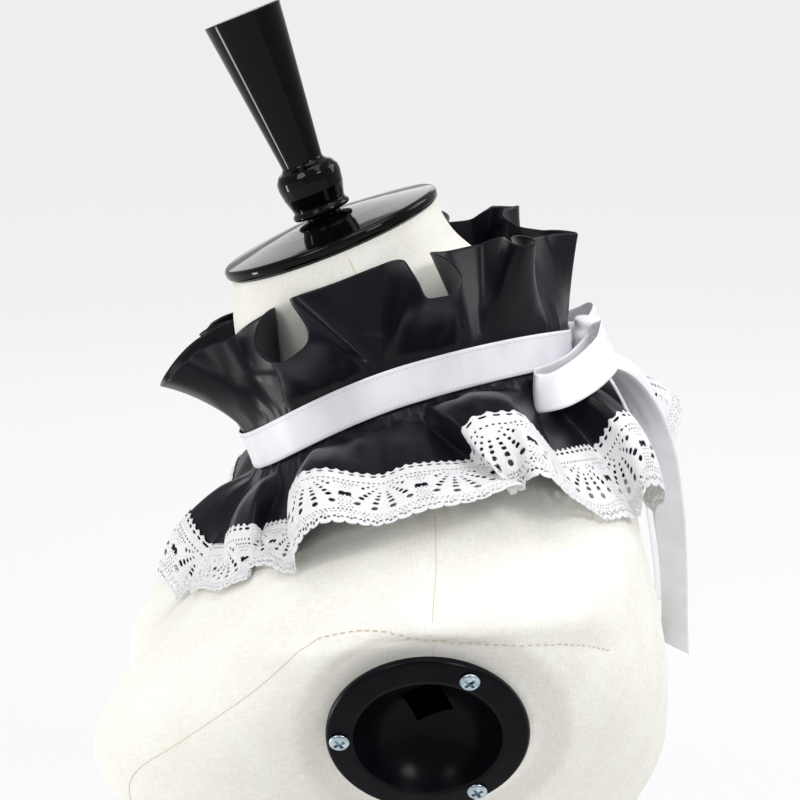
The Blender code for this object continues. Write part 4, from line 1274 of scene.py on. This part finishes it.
def makeStrip(name, line, nodeName, mirror=False, squeeze=0.0, cutSlant=0.0):
    # A ribbon of the bow: gathered into soft pleats where it enters the knot.
    rows = np.array(line, float)
    if mirror:
        rows = rows * (-1, 1, 1, -1, 1, 1)
    run = runAlong(rows[:, :3])
    wanted = np.linspace(0.0, run[-1], int(run[-1] / bowShape["step"]))
    fine = curveThrough(run, rows, wanted)
    middle = smoothLine(fine[:, :3], 6)
    forward = unit(np.gradient(middle, axis=0))
    across = fine[:, 3:]
    across = unit(across - forward * np.sum(across * forward, axis=1, keepdims=True))
    normal = np.cross(forward, across)
    share = wanted / run[-1]
    nearKnot = np.minimum(share, 1 - share) if squeeze < 0 else share
    narrow = 1 - abs(squeeze) * np.clip(1 - nearKnot / bowShape["squeezed"], 0, 1) ** 2
    stations = np.linspace(-0.5, 0.5, bowShape["across"])
    spread = (bowShape["ribbon"] * narrow)[:, None] * stations[None, :]
    fold = np.cos(stations * 5 * math.pi + 0.6)[None, :]
    pleat = bowShape["pleat"] * np.exp(-nearKnot / bowShape["pleatReach"])[:, None] * fold
    cup = bowShape["cup"] * (1 - (2 * stations) ** 2)[None, :] * np.sin(share * 7.0 + 1.0)[:, None]
    inward = (0.5 - np.abs(stations)) * bowShape["ribbon"]
    edge = bowShape["selvedge"] * np.exp(-((inward / 0.9) ** 2))[None, :]
    lift = pleat + cup * smoothStep(nearKnot / 0.2)[:, None] + edge
    slant = cutSlant * stations[None, :] * smoothStep((share - 0.9) / 0.1)[:, None]
    grid = (middle[:, None] + across[:, None] * spread[..., None] + normal[:, None] * lift[..., None]
            + forward[:, None] * slant[..., None])
    flat = (wanted, stations * bowShape["ribbon"])
    piece = addPiece(gridMesh(name, grid, flat), whiteSatin, nodeName,
                     thickness=bowShape["thickness"])


def makeKnot():
    # The ribbon wrapped tight round the bow's middle, with folds pulled across it.
    shape = knotShape
    turn = np.linspace(0, 2 * math.pi, shape["columns"] + 1)
    share = np.linspace(-1, 1, shape["rows"])
    size = 1 - 0.2 * np.abs(share) ** 4 - 0.05 * np.exp(-((share / 0.25) ** 2))
    c, s = np.cos(turn), np.sin(turn)
    x = np.sign(c) * np.abs(c) ** 0.6
    y = np.sign(s) * np.abs(s) ** 0.6
    folds = 0.45 * np.sin(share[None, :] * 8.5 + 0.8 * np.sin(turn * 2)[:, None] + 0.5)
    grid = np.stack([
        shape["centre"][0] + x[:, None] * (shape["half"][0] * size[None, :] + folds),
        shape["centre"][1] + y[:, None] * (shape["half"][1] * size[None, :] + folds),
        np.broadcast_to(shape["centre"][2] + share[None, :] * shape["half"][2], folds.shape)], axis=-1)
    mesh = gridMesh("bowKnot", grid, (turn * 7.0, share * 9.0), closed=True)
    editMesh(mesh, closeEnds)
    addPiece(mesh, whiteSatin, "bow_knot")


makeKnot()
makeStrip("bowLoopLeft", loopLine, "bow_loop_left", squeeze=-0.45)
makeStrip("bowLoopRight", loopLine, "bow_loop_right", mirror=True, squeeze=-0.45)
makeStrip("bowTailLeft", tailLeftLine, "bow_tail_left", squeeze=0.42, cutSlant=2.0)
makeStrip("bowTailRight", tailRightLine, "bow_tail_right", squeeze=0.42, cutSlant=-2.0)
print("bow made")


# Studio

studio = {
    "floorSize": 40.0,
    "target": (0.0, 0.0, 0.33),
    "azimuth": 90.0,
    "elevation": 14.0,
    "distance": 0.9,
    "lens": 87.1,
    # azimuth, elevation, distance, width, height, strength, colour
    "lights": (
        ("key", 40.0, 44.0, 1.6, 0.5, 0.5, 5.5, "#ffffff"),
        ("strip", 3.0, -18.0, 0.7, 0.085, 0.26, 1.4, "#ffffff"),
        ("fill", 128.0, 42.0, 1.7, 0.45, 0.45, 10.0, "#fbfcff"),
        ("top", 90.0, 86.0, 1.6, 0.9, 0.9, 7.5, "#ffffff"),
        ("back", 205.0, 38.0, 1.8, 0.9, 0.9, 10.0, "#ffffff"),
        ("far", 277.0, 17.0, 1.6, 1.3, 0.5, 2.6, "#ffffff"),
    ),
}


def placeRound(made, azimuth, elevation, distance):
    # Puts a lamp or the camera round the target and turns it there.
    a, e = math.radians(azimuth), math.radians(elevation)
    away = Vector((math.sin(a) * math.cos(e), -math.cos(a) * math.cos(e), math.sin(e)))
    made.location = Vector(studio["target"]) + away * distance
    made.rotation_mode = "QUATERNION"
    made.rotation_quaternion = away.to_track_quat("Z", "Y")


def makeStudio():
    mesh = newMesh("floor", lambda work: bmesh.ops.create_grid(
        work, x_segments=1, y_segments=1, size=studio["floorSize"] / 2))
    look, tree, shader = newFinish("white paper floor")
    setInputs(tree, shader, {
        "Base Color": hexColour("#7a7a7a"), "Roughness": 0.9, "Specular IOR Level": 0.1,
        "Emission Color": hexColour("#ffffff"), "Emission Strength": 0.75})
    mesh.materials.append(look)
    floor = addObject("floor", mesh)
    floor.location.z = -0.0005
    world = bpy.data.worlds.new("studio")
    world.use_nodes = True
    setInputs(world.node_tree, world.node_tree.nodes["Background"],
              {"Color": hexColour("#fbfcff"), "Strength": 0.5})
    bpy.context.scene.world = world
    for name, azimuth, elevation, distance, wide, tall, strength, colour in studio["lights"]:
        lamp = bpy.data.lights.new(name, "AREA")
        lamp.shape = "RECTANGLE"
        lamp.size = wide
        lamp.size_y = tall
        lamp.energy = strength
        lamp.color = hexColour(colour)[:3]
        holder = addObject(name, lamp)
        holder.visible_camera = False
        placeRound(holder, azimuth, elevation, distance)
    camera = bpy.data.cameras.new("camera")
    camera.lens = studio["lens"]
    camera.sensor_width = 36.0
    holder = addObject("camera", camera)
    placeRound(holder, studio["azimuth"], studio["elevation"], studio["distance"])
    bpy.context.scene.camera = holder
    bpy.context.scene.view_settings.view_transform = "Standard"


makeStudio()
print("studio made")
